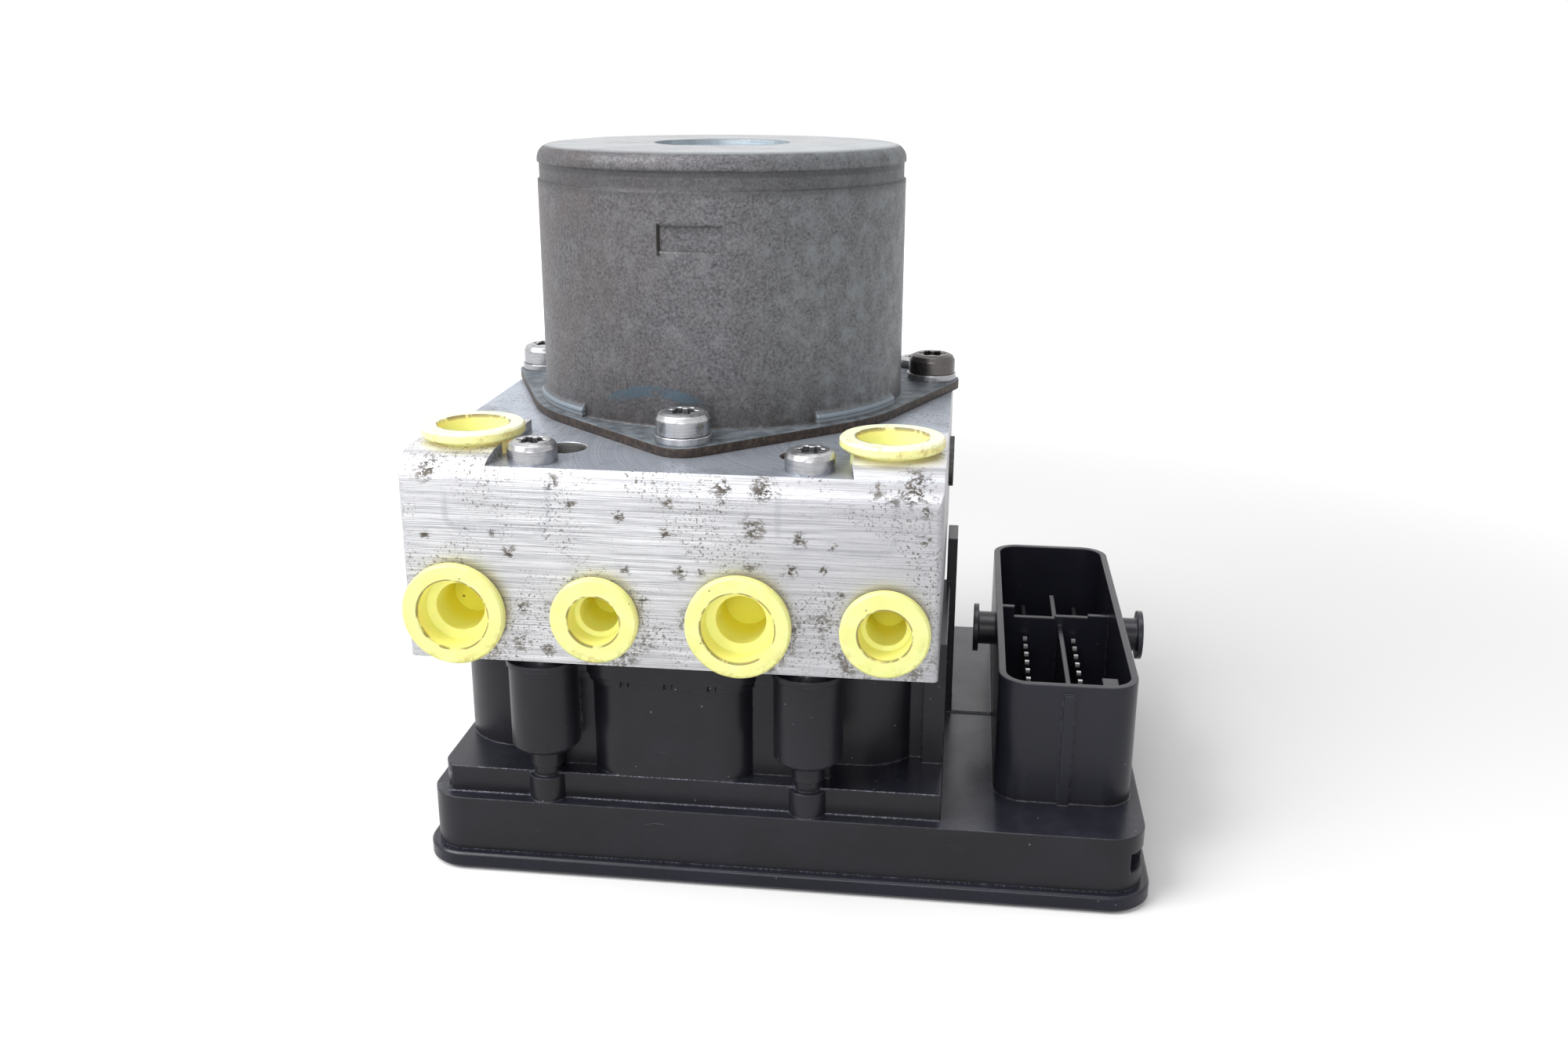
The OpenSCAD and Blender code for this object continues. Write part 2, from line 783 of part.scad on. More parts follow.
module top_plug_right() {
    color("yellow") at_top_port(1) transport_plug(large_flange_r, large_seat_r, large_port_r);
}

// Flange plan: a circle that runs tangent into three lugs
module flange_plan() {
    reach = acos((flange_r - lug_r) / bolt_circle_r);
    circle(flange_r);
    for (p = lugs) rotate(atan2(p.y, p.x)) {
        translate([bolt_circle_r, 0]) circle(lug_r);
        polygon([
            flange_r * [cos(reach), -sin(reach)],
            [bolt_circle_r + lug_r * cos(reach), -lug_r * sin(reach)],
            [bolt_circle_r + lug_r * cos(reach), lug_r * sin(reach)],
            flange_r * [cos(reach), sin(reach)], [0, 0]
        ]);
    }
}

// Section of the drawn can, with its rolled band, sunk top and bearing seat
module can_section() {
    in_top = can_top - can_wall;
    roof_in = bearing_r + seat_wall;
    difference() {
        union() {
            translate([0, face_z]) square([can_r, can_h - can_edge_r]);
            translate([0, face_z]) square([can_r - can_edge_r, can_h]);
            translate([can_r - can_edge_r, can_top - can_edge_r]) circle(can_edge_r);
        }
        translate([-cut, face_z - cut]) square([can_in_r + cut, can_h - can_wall - can_dish_depth + cut]);
        translate([roof_in, face_z]) square([can_in_r - can_wall - roof_in, can_h - can_wall]);
        translate([-cut, can_top - can_dish_depth]) square([can_dish_r + cut, can_dish_depth + cut]);
        translate([can_r - can_band_depth, can_band_z]) square([can_band_depth + cut, can_band_h]);
    }
    translate([bearing_r + fit, upper_bearing_z]) square([seat_wall, in_top - upper_bearing_z]);
}

// Section of a bead at the can's foot, with a sloping shoulder
module bead_section() {
    inner = can_r - can_wall / 2;
    outer = can_r + bead_proud;
    bead_top = flange_t + bead_h;
    polygon([[inner, 0], [outer, 0], [outer, bead_top - bead_proud], [inner, bead_top + can_r - inner]]);
}

// Drawn steel can in one piece with its flange
module motor_can() {
    color("slategray") difference() {
        union() {
            rotate_extrude() can_section();
            translate([0, 0, face_z]) linear_extrude(flange_t) flange_plan();
            for (a = bead_angles) rotate(a - bead_sweep / 2) translate([0, 0, face_z])
                rotate_extrude(angle = bead_sweep) bead_section();
        }
        z_rod(face_z - cut, flange_top + cut, 0, 0, can_in_r);
        for (p = lugs) z_rod(face_z - cut, flange_top + cut, p.x, p.y, motor_screw_r + gap);
        box(
            [-pocket_w / 2, -can_r - cut, face_z + pocket_rise - pocket_h / 2],
            [pocket_w / 2, pocket_y, face_z + pocket_rise + pocket_h / 2]
        );
    }
}

// End plate that closes the can and carries the lower bearing and the brushes
module motor_end_plate() {
    color("dimgray") difference() {
        union() {
            z_rod(plate_z, plate_top, 0, 0, can_in_r - fit);
            z_rod(hub_z, plate_top, 0, 0, hub_r);
            for (s = sides) mirror([s < 0 ? 1 : 0, 0, 0]) box(
                [holder_x, -brush_w / 2 - holder_wall, plate_top - cut],
                [holder_x + holder_l, brush_w / 2 + holder_wall, brush_z + brush_h + holder_wall]
            );
        }
        z_rod(hub_z - cut, plate_top + cut, 0, 0, shaft_r + 1);
        z_rod(hub_z - cut, lower_bearing_z + bearing_w, 0, 0, bearing_r + fit);
        brush_channel();
        for (s = sides) z_rod(plate_z - cut, plate_top + cut, s * contact_x, contact_y, contact_r + fit);
    }
}

// Square channel that both brushes slide in
module brush_channel() {
    half_w = brush_w / 2 + fit;
    half_l = brush_out + brush_wear;
    box([-half_l, -half_w, brush_z - fit], [half_l, half_w, brush_z + brush_h + fit]);
}

// Four curved magnets inside the can
module motor_magnets() {
    color("darkslategray") for (a = [0:90:270]) rotate(a - magnet_sweep / 2)
        translate([0, 0, core_z - magnet_over]) rotate_extrude(angle = magnet_sweep)
            translate([magnet_r - magnet_t, 0]) square([magnet_t, core_l + 2 * magnet_over]);
}

// Shaft with the eccentric turned on its lower end
module motor_shaft() {
    color("silver") {
        z_rod(shaft_end_z, upper_bearing_z + bearing_w - gap, 0, 0, shaft_r);
        z_rod(pump_z - cam_h / 2, pump_z + cam_h / 2, 0, -throw, cam_r);
    }
}

// Slotted rotor core
module rotor_core() {
    color("gray") translate([0, 0, core_z]) difference() {
        cylinder(h = core_l, r = core_r);
        translate([0, 0, -cut]) cylinder(h = core_l + 2 * cut, r = core_bore_r);
        for (i = [0:core_slots - 1]) rotate(360 * i / core_slots) {
            translate([core_r - slot_depth, 0, -cut]) cylinder(h = core_l + 2 * cut, r = slot_round_r);
            translate([core_r - slot_depth, -slot_mouth_w / 2, -cut])
                cube([slot_depth + cut, slot_mouth_w, core_l + 2 * cut]);
        }
    }
}

// Rings of copper wire above and below the core
module rotor_windings() {
    color("peru") for (z = [core_z - winding_h, core_z + core_l]) translate([0, 0, z]) difference() {
        cylinder(h = winding_h, r = winding_r);
        translate([0, 0, -cut]) cylinder(h = winding_h + 2 * cut, r = comm_r + comm_gap);
    }
}

// Copper commutator with its segment gaps
module commutator() {
    color("chocolate") translate([0, 0, comm_z]) difference() {
        cylinder(h = comm_l, r = comm_r);
        translate([0, 0, -cut]) cylinder(h = comm_l + 2 * cut, r = core_bore_r);
        for (i = [0:core_slots - 1]) rotate(360 * i / core_slots)
            translate([comm_r - 1, -comm_slit_w / 2, -cut]) cube([2, comm_slit_w, comm_l + 2 * cut]);
    }
}

// Two carbon brushes that bear on the commutator
module brushes() {
    color("black") for (s = sides) mirror([s < 0 ? 1 : 0, 0, 0]) difference() {
        box([comm_r - 1, -brush_w / 2, brush_z], [brush_out, brush_w / 2, brush_z + brush_h]);
        z_rod(comm_z, comm_z + comm_l, 0, 0, brush_in);
    }
}

// Two pins that carry the motor's current down through the block
module motor_contacts() {
    color("goldenrod") for (s = sides)
        z_rod(board_top, plate_top, s * contact_x, contact_y, contact_r);
}

// Plain ball bearing, drawn as its closed outer form
module bearing(z, outer_r) {
    color("silver") translate([0, 0, z]) difference() {
        cylinder(h = bearing_w, r = outer_r);
        translate([0, 0, -cut]) cylinder(h = bearing_w + 2 * cut, r = shaft_r + fit);
        for (e = [0, bearing_w]) translate([0, 0, e]) difference() {
            translate([0, 0, -race_depth]) cylinder(h = 2 * race_depth, r = outer_r - race_w);
            translate([0, 0, -cut]) cylinder(h = 2 * cut, r = shaft_r + race_w);
        }
    }
}

module upper_bearing() { bearing(upper_bearing_z, bearing_r); }
module lower_bearing() { bearing(lower_bearing_z, bearing_r); }

// Ring that runs on the eccentric and drives the pistons
module eccentric_ring() {
    color("lightsteelblue") translate([0, -throw, pump_z - ring_h / 2]) difference() {
        cylinder(h = ring_h, r = ring_r);
        translate([0, 0, -cut]) cylinder(h = ring_h + 2 * cut, r = cam_r + fit);
    }
}

module motor_washers() {
    color("silver") for (p = lugs) translate([p.x, p.y, flange_top]) difference() {
        cylinder(h = washer_t, r = washer_r);
        translate([0, 0, -cut]) cylinder(h = washer_t + 2 * cut, r = motor_screw_r + 0.2);
    }
}

module motor_screws() {
    color("silver") for (p = lugs) translate([p.x, p.y, flange_top + washer_t])
        pan_screw(motor_head_r, motor_head_h, motor_screw_r, motor_screw_l + flange_t + washer_t);
}

// Steel sleeve that guides one pump piston, turned to its side
module pump_sleeve(side) {
    color("silver") mirror([side < 0 ? 1 : 0, 0, 0]) difference() {
        x_rod(sleeve_x0, plug_x0, 0, pump_z, sleeve_r);
        x_rod(sleeve_x0 - cut, plug_x0 + cut, 0, pump_z, piston_r + fit);
    }
}

module pump_sleeve_left() { pump_sleeve(-1); }
module pump_sleeve_right() { pump_sleeve(1); }

// Ground piston with a rounded inner end
module pump_piston(side) {
    inner = piston_r - piston_edge;
    color("lightgray") mirror([side < 0 ? 1 : 0, 0, 0]) translate([piston_x0, 0, pump_z])
        rotate([0, 90, 0]) rotate_extrude() polygon([
            [0, 0], [inner, 0], [piston_r, piston_edge],
            [piston_r, piston_l - piston_edge], [inner, piston_l], [0, piston_l]
        ]);
}

module pump_piston_left() { pump_piston(-1); }
module pump_piston_right() { pump_piston(1); }

module pump_spring(side) {
    length = plug_x0 - piston_x1 - 2 * spring_play;
    color("silver") mirror([side < 0 ? 1 : 0, 0, 0]) translate([piston_x1 + spring_play, 0, pump_z])
        rotate([0, 90, 0]) coil_spring(piston_r - spring_wire_r - gap, spring_wire_r, length, spring_turns);
}

module pump_spring_left() { pump_spring(-1); }
module pump_spring_right() { pump_spring(1); }

// Pressed plug that closes a pump bore in the side of the block
module pump_plug(side) {
    color("dimgray") mirror([side < 0 ? 1 : 0, 0, 0]) difference() {
        x_rod(plug_x0, plug_x0 + pump_plug_t, 0, pump_z, sleeve_r);
        x_rod(plug_x0 + pump_plug_t - plug_recess, plug_x0 + pump_plug_t + cut, 0, pump_z, 0.55 * sleeve_r);
    }
}

module pump_plug_left() { pump_plug(-1); }
module pump_plug_right() { pump_plug(1); }

// Cup piston of an accumulator, open towards its spring
module accumulator_piston(side) {
    color("lightgray") translate([side * store_x, store_piston_y, store_z]) rotate([-90, 0, 0])
        difference() {
            cylinder(h = store_piston_t, r = store_r - fit);
            translate([0, 0, store_cup_floor]) cylinder(h = store_piston_t, r = store_r - store_cup_wall);
        }
}

module accumulator_piston_left() { accumulator_piston(-1); }
module accumulator_piston_right() { accumulator_piston(1); }

module accumulator_spring(side) {
    length = store_cap_y - spring_play - store_spring_y;
    color("silver") translate([side * store_x, store_spring_y, store_z]) rotate([-90, 0, 0])
        coil_spring(store_spring_r, store_wire_r, length, store_turns);
}

module accumulator_spring_left() { accumulator_spring(-1); }
module accumulator_spring_right() { accumulator_spring(1); }

// Cap that closes an accumulator in the rear face, with its breather hole
module accumulator_cap(side) {
    color("silver") translate([side * store_x, store_cap_y, store_z]) rotate([-90, 0, 0]) difference() {
        cylinder(h = store_cap_t, r = store_r - fit);
        translate([0, 0, store_cap_t - store_cap_recess]) cylinder(h = store_cap_t, r = 0.7 * store_r);
        translate([0, 0, -cut]) cylinder(h = store_cap_t + 2 * cut, r = breather_r);
    }
}

module accumulator_cap_left() { accumulator_cap(-1); }
module accumulator_cap_right() { accumulator_cap(1); }

// Valve cartridge pressed into the block, its dome hanging into a coil
module valve(x, y) {
    translate([x, y, block_z]) {
        cylinder(h = valve_l, r = valve_r);
        translate([0, 0, -valve_cap_t]) cylinder(h = valve_cap_t, r = valve_cap_r);
        translate([0, 0, -dome_l + dome_r]) cylinder(h = dome_l - dome_r, r = dome_r);
        translate([0, 0, -dome_l + dome_r]) sphere(dome_r);
    }
}

module inlet_valves() {
    color("silver") for (x = valve_xs) valve(x, inlet_y);
}

module outlet_valves() {
    color("silver") for (x = valve_xs) valve(x, outlet_y);
}

// Wound coil in its steel yoke
module coil(x, y) {
    translate([x, y, coil_z]) difference() {
        cylinder(h = coil_h, r = coil_r);
        translate([0, 0, -cut]) cylinder(h = coil_h + 2 * cut, r = dome_r + fit);
        translate([0, 0, coil_flange_t]) difference() {
            cylinder(h = coil_h - 2 * coil_flange_t, r = coil_r + cut);
            translate([0, 0, -cut]) cylinder(h = coil_h, r = coil_r - coil_flange_w);
        }
    }
}

module inlet_coils() {
    color("darkgoldenrod") for (x = valve_xs) coil(x, inlet_y);
}

module outlet_coils() {
    color("darkgoldenrod") for (x = valve_xs) coil(x, outlet_y);
}

// Places a child at each of the coils' terminals
module at_terminals() {
    for (x = valve_xs, y = [inlet_y, outlet_y], s = sides)
        translate([x + s * terminal_dx, y + terminal_dy, 0]) children();
}

module coil_terminals() {
    color("goldenrod") at_terminals() z_rod(board_top, coil_z, 0, 0, terminal_r);
}

module pressure_sensor() {
    color("lightgray") {
        z_rod(block_z, block_z + sensor_stub_l, 0, sensor_y, sensor_stub_r);
        z_rod(block_z - sensor_head_h, block_z, 0, sensor_y, sensor_r);
        z_rod(block_z - sensor_l, block_z - sensor_head_h, 0, sensor_y, sensor_r - sensor_neck);
    }
}

// Plan of the collar, the wall between the front bosses and its bulge, drawn in by an inset
module collar_plan(inset) {
    wall_end = screw_x - front_wall_in - inset;
    deep = collar_y + 2 * bulge_corner_r + inset;
    rounded_rect(
        collar_x0 + inset, collar_x1 - inset,
        collar_y + inset, collar_back_y - inset, collar_corner_r - inset
    );
    translate([screw_shift - wall_end, front_wall_y + inset])
        square([2 * wall_end, deep - front_wall_y - inset]);
    rounded_rect(
        bulge_shift - bulge_w / 2 + inset, bulge_shift + bulge_w / 2 - inset,
        step_y + inset, deep, bulge_corner_r - inset
    );
}

module collar_layer(inset, z0, z1) {
    translate([0, 0, z0]) linear_extrude(z1 - z0) collar_plan(inset);
}

// Outside of the tray, the step and the collar
module housing_body() {
    slab(tray_x0, tray_x1, tray_y, tray_back, tray_corner_r, tray_z, tray_top);
    slab(step_x0, step_x1, step_y, step_back_y, step_corner_r, tray_top - cut, step_top);
    box([step_x0 + wall, step_y, tray_top - cut], [step_x1, step_back_y - wall, step_top]);
    box([step_x1 - cut, fin_y, tray_top - cut], [box_x0 + cut, step_back_y - wall, tray_top + ridge_h]);
    collar_layer(0, step_top - cut, rim_z + rim_step_h);
    difference() {
        collar_layer(-rim_proud / 2, rim_z, rim_z + rim_step_h);
        for (i = [-1, 0, 1])
            translate([notch_x + i * notch_pitch, step_y - notch_r, rim_z - cut])
                cylinder(h = rim_step_h + 2 * cut, r = notch_r);
    }
    collar_layer(-rim_proud, rim_z + rim_step_h, block_z - gap);
}

// Hollows for the board, the coils and the space under the step
module housing_hollows() {
    slab(
        tray_x0 + wall, tray_x1 - wall, tray_y + wall, tray_back - wall, tray_corner_r - wall,
        tray_z - cut, tray_top - wall
    );
    slab(step_x0 + wall, step_x1 - wall, step_y + wall, step_back_y - wall, 1, tray_z, step_top - wall);
    collar_layer(wall, step_top, block_z);
    translate([0, 0, block_z - gap - seal_depth]) linear_extrude(seal_depth + cut) seal_plan(0);
}

// Plan of the seal in the rim's top, narrowed on both sides by a slack
module seal_plan(slack) {
    difference() {
        collar_plan(seal_inset + slack);
        collar_plan(seal_inset + seal_w - slack);
    }
}

// Front boss with its lip, and the narrow neck, groove and half-round foot below it
module front_boss(p) {
    z_rod(boss_z + boss_edge, boss_top, p.x, p.y, boss_r);
    z_rod(boss_top - boss_lip_h, boss_top, p.x, p.y, boss_r + boss_lip);
    translate([p.x, p.y, boss_z]) cylinder(h = boss_edge, r1 = boss_r - boss_edge, r2 = boss_r);
    z_rod(boss_z - neck_h, boss_z + boss_edge, p.x, p.y, neck_r);
    z_rod(foot_z - cut, boss_z, p.x, p.y, groove_r);
    z_rod(tray_top - cut, foot_z, p.x, p.y, foot_r);
    box([p.x - web_half, front_wall_y, step_top - cut], [p.x + web_half, collar_y + wall, boss_top]);
}

// Rear boss that stands on the step, joined to the collar by a web
module rear_boss(p) {
    web_start = collar_back_y - collar_corner_r;
    z_rod(step_top - cut, boss_top, p.x, p.y, boss_r);
    box([p.x - web_half, web_start, step_top - cut], [p.x + web_half, p.y, boss_top]);
}

// Wing beside the collar, and the upright fin that runs up past the block
module side_fin() {
    wing_x = step_x1 - wing_w;
    box([wing_x, wing_y, step_top - cut], [step_x1, wing_y + wing_l, block_z - gap]);
    box([collar_x1 - wall, web_y, step_top - cut], [wing_x + cut, wing_y + wing_l, block_z - gap]);
    box([fin_x, fin_y, tray_top - cut], [fin_x + fin_t, fin_y + fin_l, tray_top + fin_h]);
}

// Shroud round the contact pins, with the studs for the plug's lever
module connector_shroud() {
    head_x = plug_box_w / 2 + stud_neck;
    slab(box_x0, box_x1, box_y0, box_y1, plug_box_corner_r, tray_top - cut, box_top);
    box(
        [box_mid_x - outer_rib_w / 2, box_y0 - outer_rib_proud, tray_top - cut],
        [box_mid_x + outer_rib_w / 2, box_y0 + 1, tray_top + outer_rib_h]
    );
    for (s = sides) translate([box_mid_x, 0, 0]) mirror([s < 0 ? 1 : 0, 0, 0]) {
        x_rod(plug_box_w / 2 - 1, head_x + cut, stud_y, stud_z, stud_r);
        x_rod(head_x, head_x + stud_head_t, stud_y, stud_z, stud_head_r);
    }
}

module connector_hollow() {
    w = plug_box_wall;
    slab(box_x0 + w, box_x1 - w, box_y0 + w, box_y1 - w, plug_box_corner_r - w, box_floor, box_top + cut);
}

// Upright wall inside the shroud, from its floor to a height
module inner_wall(x0, x1, y0, y1, top) {
    box([x0, y0, box_floor - cut], [x1, y1, top]);
}

// Stepped cross wall, the ribs before and behind it, and the rib that keys the plug
module connector_walls() {
    x0 = box_x0 + plug_box_wall;
    x1 = box_x1 - plug_box_wall;
    y0 = box_y0 + plug_box_wall;
    y1 = divider_y + divider_t;
    shelf_top = divider_top + shelf_rise;
    inner_wall(x0 - cut, x1 + cut, divider_y, y1, divider_top);
    inner_wall(x0 - cut, x0 + ledge_w, divider_y, y1, divider_top + ledge_rise);
    inner_wall(box_mid_x, x1 + cut, divider_y, y1, shelf_top);
    inner_wall(x1 - shelf_w, x1 + cut, divider_y, y1, shelf_top + shelf_rise);
    inner_wall(rib_x - rib_w / 2, rib_x + rib_w / 2, y0 - cut, divider_y + cut, rib_top);
    inner_wall(box_mid_x - rib_w / 2, box_mid_x + rib_w / 2, divider_y, y1 + rear_rib_l, divider_top);
    inner_wall(x1 - key_rib_w - key_rib_in, x1 - key_rib_in, y0 - cut, y0 + key_rib_l, key_rib_top);
}

// Places a child at each of the contact pins
module at_pins() {
    for (s = sides, i = [0:pin_count - 1])
        translate([pins_x + s * pin_row_gap / 2, pins_y + i * pin_pitch, 0]) children();
}

// Places a child at each of the power blades
module at_blades() {
    for (s = sides, y = blade_ys) translate([box_mid_x + s * blade_dx, y, 0]) children();
}

// Square post from z0 to z1, centred on its axis
module post(w, d, z0, z1) {
    translate([-w / 2, -d / 2, z0]) cube([w, d, z1 - z0]);
}

// Moulded housing: tray, step, collar, bosses, fin and connector shroud in one piece
module ecu_housing() {
    color([0.12, 0.12, 0.14]) difference() {
        union() {
            difference() {
                union() {
                    housing_body();
                    for (i = [0, 1]) front_boss(housing_screws_at[i]);
                    for (i = [2, 3]) rear_boss(housing_screws_at[i]);
                    side_fin();
                    connector_shroud();
                }
                housing_hollows();
                connector_hollow();
            }
            connector_walls();
            slab(box_x0, box_x1, box_y0, box_y1, plug_box_corner_r, tray_top - wall - cut, box_floor);
            for (y = [tray_y + post_inset, tray_back - post_inset]) {
                z_rod(board_top, step_top - wall + cut, tray_x0 + post_inset, y, post_r);
                z_rod(board_top, tray_top - wall + cut, box_x0 - 5, y, post_r);
            }
        }
        for (p = housing_screws_at) {
            z_rod(insert_z, block_z, p.x, p.y, insert_r + fit);
            z_rod(insert_z - 2, block_z, p.x, p.y, screw_r + gap);
        }
        at_pins() post(pin_side + 2 * fit, pin_side + 2 * fit, tray_z, box_floor + cut);
        at_blades() post(blade_t + 2 * fit, blade_w + 2 * fit, tray_z, box_floor + cut);
        at_terminals() z_rod(tray_z, step_top + cut, 0, 0, terminal_r + fit);
        for (s = sides) z_rod(tray_z, step_top + cut, s * contact_x, contact_y, contact_r + fit);
        box([tray_x1 - slot_in, tray_y, slot_z], [tray_x1 + cut, tray_y + slot_l, slot_z + slot_h]);
    }
}

// Plan of the cover, drawn in from its outside by an inset
module cover_layer(inset, z0, z1) {
    lip = cover_lip - inset;
    slab(tray_x0 - lip, tray_x1 + lip, tray_y - lip, tray_back + lip, tray_corner_r + lip, z0, z1);
}

// Bottom cover with a chamfered lower edge and a locating rib inside the tray
module ecu_cover() {
    rib_out = cover_lip + wall + fit;
    color([0.08, 0.08, 0.12]) {
        hull() {
            cover_layer(cover_edge, 0, 0.1);
            cover_layer(0, cover_edge, cover_t - cover_round);
            cover_layer(cover_round, cover_t - 0.1, cover_t);
        }
        difference() {
            cover_layer(rib_out, cover_t - cut, cover_t + cover_rib_h);
            cover_layer(rib_out + wall, cover_t - 2 * cut, cover_t + cover_rib_h + cut);
        }
    }
}

module housing_seal() {
    color("black") translate([0, 0, block_z - gap - seal_depth])
        linear_extrude(gap + seal_depth) seal_plan(fit);
}

// Board that rests on the cover's rib and under the housing's posts
module circuit_board() {
    in = wall + board_gap;
    color("darkgreen")
        slab(
            tray_x0 + in, tray_x1 - in, tray_y + in, tray_back - in,
            tray_corner_r - in, board_z, board_top
        );
}

module board_chips() {
    color([0.2, 0.2, 0.2]) for (c = chips)
        translate([c.x, c.y, 0]) post(c.z, c.z, board_top, board_top + chip_h);
}

module connector_pins() {
    color("silver") at_pins() post(pin_side, pin_side, board_top, pin_top);
}

module power_blades() {
    color("silver") at_blades() post(blade_t, blade_w, board_top, blade_top);
}

// Threaded bushes in the bosses, that the block stands on
module threaded_inserts() {
    color("silver") for (p = housing_screws_at) difference() {
        z_rod(insert_z, block_z, p.x, p.y, insert_r);
        z_rod(insert_z - cut, block_z + cut, p.x, p.y, screw_r + fit);
    }
}

module housing_screws() {
    color("silver") for (p = housing_screws_at) translate([p.x, p.y, face_z])
        pan_screw(screw_head_r, screw_head_h, screw_r, screw_l);
}

valve_block();
channel_plugs();
front_plug_1();
front_plug_2();
front_plug_3();
front_plug_4();
top_plug_left();
top_plug_right();
motor_can();
motor_end_plate();
motor_magnets();
motor_shaft();
rotor_core();
rotor_windings();
commutator();
brushes();
motor_contacts();
upper_bearing();
lower_bearing();
eccentric_ring();
motor_washers();
motor_screws();
pump_sleeve_left();
pump_sleeve_right();
pump_piston_left();
pump_piston_right();
pump_spring_left();
pump_spring_right();
pump_plug_left();
pump_plug_right();
accumulator_piston_left();
accumulator_piston_right();
accumulator_spring_left();
accumulator_spring_right();
accumulator_cap_left();
accumulator_cap_right();
inlet_valves();
outlet_valves();
inlet_coils();
outlet_coils();
coil_terminals();
pressure_sensor();
ecu_housing();
ecu_cover();
housing_seal();
circuit_board();
board_chips();
connector_pins();
power_blades();
threaded_inserts();
housing_screws();
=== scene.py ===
import math

import bpy
from mathutils import Matrix, Vector


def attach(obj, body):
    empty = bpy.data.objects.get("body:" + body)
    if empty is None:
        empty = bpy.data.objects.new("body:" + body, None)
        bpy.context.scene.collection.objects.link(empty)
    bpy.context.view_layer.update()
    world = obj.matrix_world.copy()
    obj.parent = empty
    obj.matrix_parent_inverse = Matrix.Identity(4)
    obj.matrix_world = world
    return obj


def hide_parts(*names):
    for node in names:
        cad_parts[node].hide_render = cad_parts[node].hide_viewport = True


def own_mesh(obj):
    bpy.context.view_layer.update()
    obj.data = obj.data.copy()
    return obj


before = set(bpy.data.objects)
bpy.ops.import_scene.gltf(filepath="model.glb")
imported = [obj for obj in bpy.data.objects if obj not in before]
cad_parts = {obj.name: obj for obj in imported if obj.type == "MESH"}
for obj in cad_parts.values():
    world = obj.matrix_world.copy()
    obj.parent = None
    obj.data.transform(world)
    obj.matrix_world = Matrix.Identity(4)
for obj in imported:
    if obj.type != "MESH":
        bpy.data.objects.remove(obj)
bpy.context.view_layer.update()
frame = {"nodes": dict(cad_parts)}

NODES = frame["nodes"]

# Places on the block in millimetres, from the source's sizes
BLOCK_FRONT = -66.2
MOTOR_FACE = 84.1
PAD_TOP = 86.3
PORT_Z = 56.4
PORT_PITCH = 26.8
FRONT_PORTS = (-1.5, -0.5, 0.5, 1.5)  # in pitches from the middle
TOP_PORT = (39.9, -51.6)
PLUG_PROUD = 2.8
LARGE_MOUTH = 6.8
SMALL_MOUTH = 4.9

# Where the block's dirt lies: middle of the tool's swirls, the dirty screw holes, and how far back dirt goes
SWIRL_AT = (30.0, -40.0)
HOLES_AT = (0.0, -57.0)
HOLES_REACH = 35.0
HOLES_BACK = -45.0
STAINS_BACK = -57.0

# Places on the motor in millimetres, from the source's sizes
FLANGE_TOP = 86.0
WASHER_T = 1.5
CAN_TOP = 138.6
CAN_R = 38.8

# Where the can's paint changes: the lid's sunk disc, the top of the foot's grime, and the pocket's slit with
# its painted shade
DISH_R = 14.2
DISH_FLOOR = 134.0
GRIME_TOP = 98.0
SLIT_X = (-6.4, -5.85)
SLIT_Z = (119.6, 125.3)

# Places on the control unit in millimetres, from the source's sizes
COVER_TOP = 3.7
TRAY_TOP = 15.2
STEP_TOP = 20.7
STEP_FRONT = -60.1
PIN_TOP = 30.4

# Where the housing's paint changes: the step's dust lines, the strip beside the block, and the shroud
STEP_SIDES = (-46.5, 51.0)
STRIP_X = (51.0, 61.5)
STRIP_Y = (-48.0, 0.0)
SHROUD_LEFT = 62.0

# Dirt on the block's front as the photo shows it: place across, place up and size of each cluster
STAINS = (
    (-17.5, 78.0, 1.8), (-7.6, 65.8, 1.5), (2.4, 65.8, 2.0), (6.4, 65.9, 1.3), (15.2, 67.3, 1.5),
    (22.9, 67.0, 2.0), (28.6, 57.1, 2.6), (24.4, 72.9, 2.2), (30.4, 72.1, 1.4), (0.0, 72.9, 2.0),
    (16.0, 74.6, 3.4), (10.5, 82.2, 2.8), (17.7, 82.0, 3.2), (38.2, 82.6, 1.8), (41.1, 80.6, 1.6),
    (-29.4, 68.4, 2.0), (-32.6, 72.2, 1.2), (-45.4, 71.1, 1.3), (-27.4, 57.7, 2.0), (31.7, 62.6, 1.4),
    (33.6, 48.6, 2.2), (-3.9, 51.6, 2.0), (-28.0, 50.7, 2.6), (0.7, 78.9, 1.8), (-8.4, 76.0, 1.8),
    (10.3, 79.7, 1.3), (-44.5, 83.2, 3.4), (45.0, 83.0, 4.2), (-21.2, 81.8, 2.2), (-4.6, 60.3, 1.4),
    (-17.0, 63.6, 1.2), (-22.9, 49.2, 2.0), (46.6, 78.9, 1.8), (46.9, 73.8, 1.8), (28.8, 67.4, 1.2),
)

# Faint pressed marks on the block's front: middle, half size, and for both the corner and line width
MARKS = (((-31.5, 79.5), (9.8, 7.0)), ((31.0, 80.5), (10.5, 9.5)))
MARK_CORNER = 3.0
MARK_WIDTH = 0.9

# Rubbed patches on the left corners of the tray and its step: place and size
SCUFFS = ((-47.2, -58.0, 18.5, 3.4), (-49.6, -58.5, 14.0, 3.2), (-50.0, -57.0, 8.0, 2.2))

# Smear of ink on the can: its middle across and up, how flat its arc is, and the arc's radii
INK_AT = (-7.6, 86.0)
INK_FLAT = 1.6
INK_RADII = (10.2, 12.4)

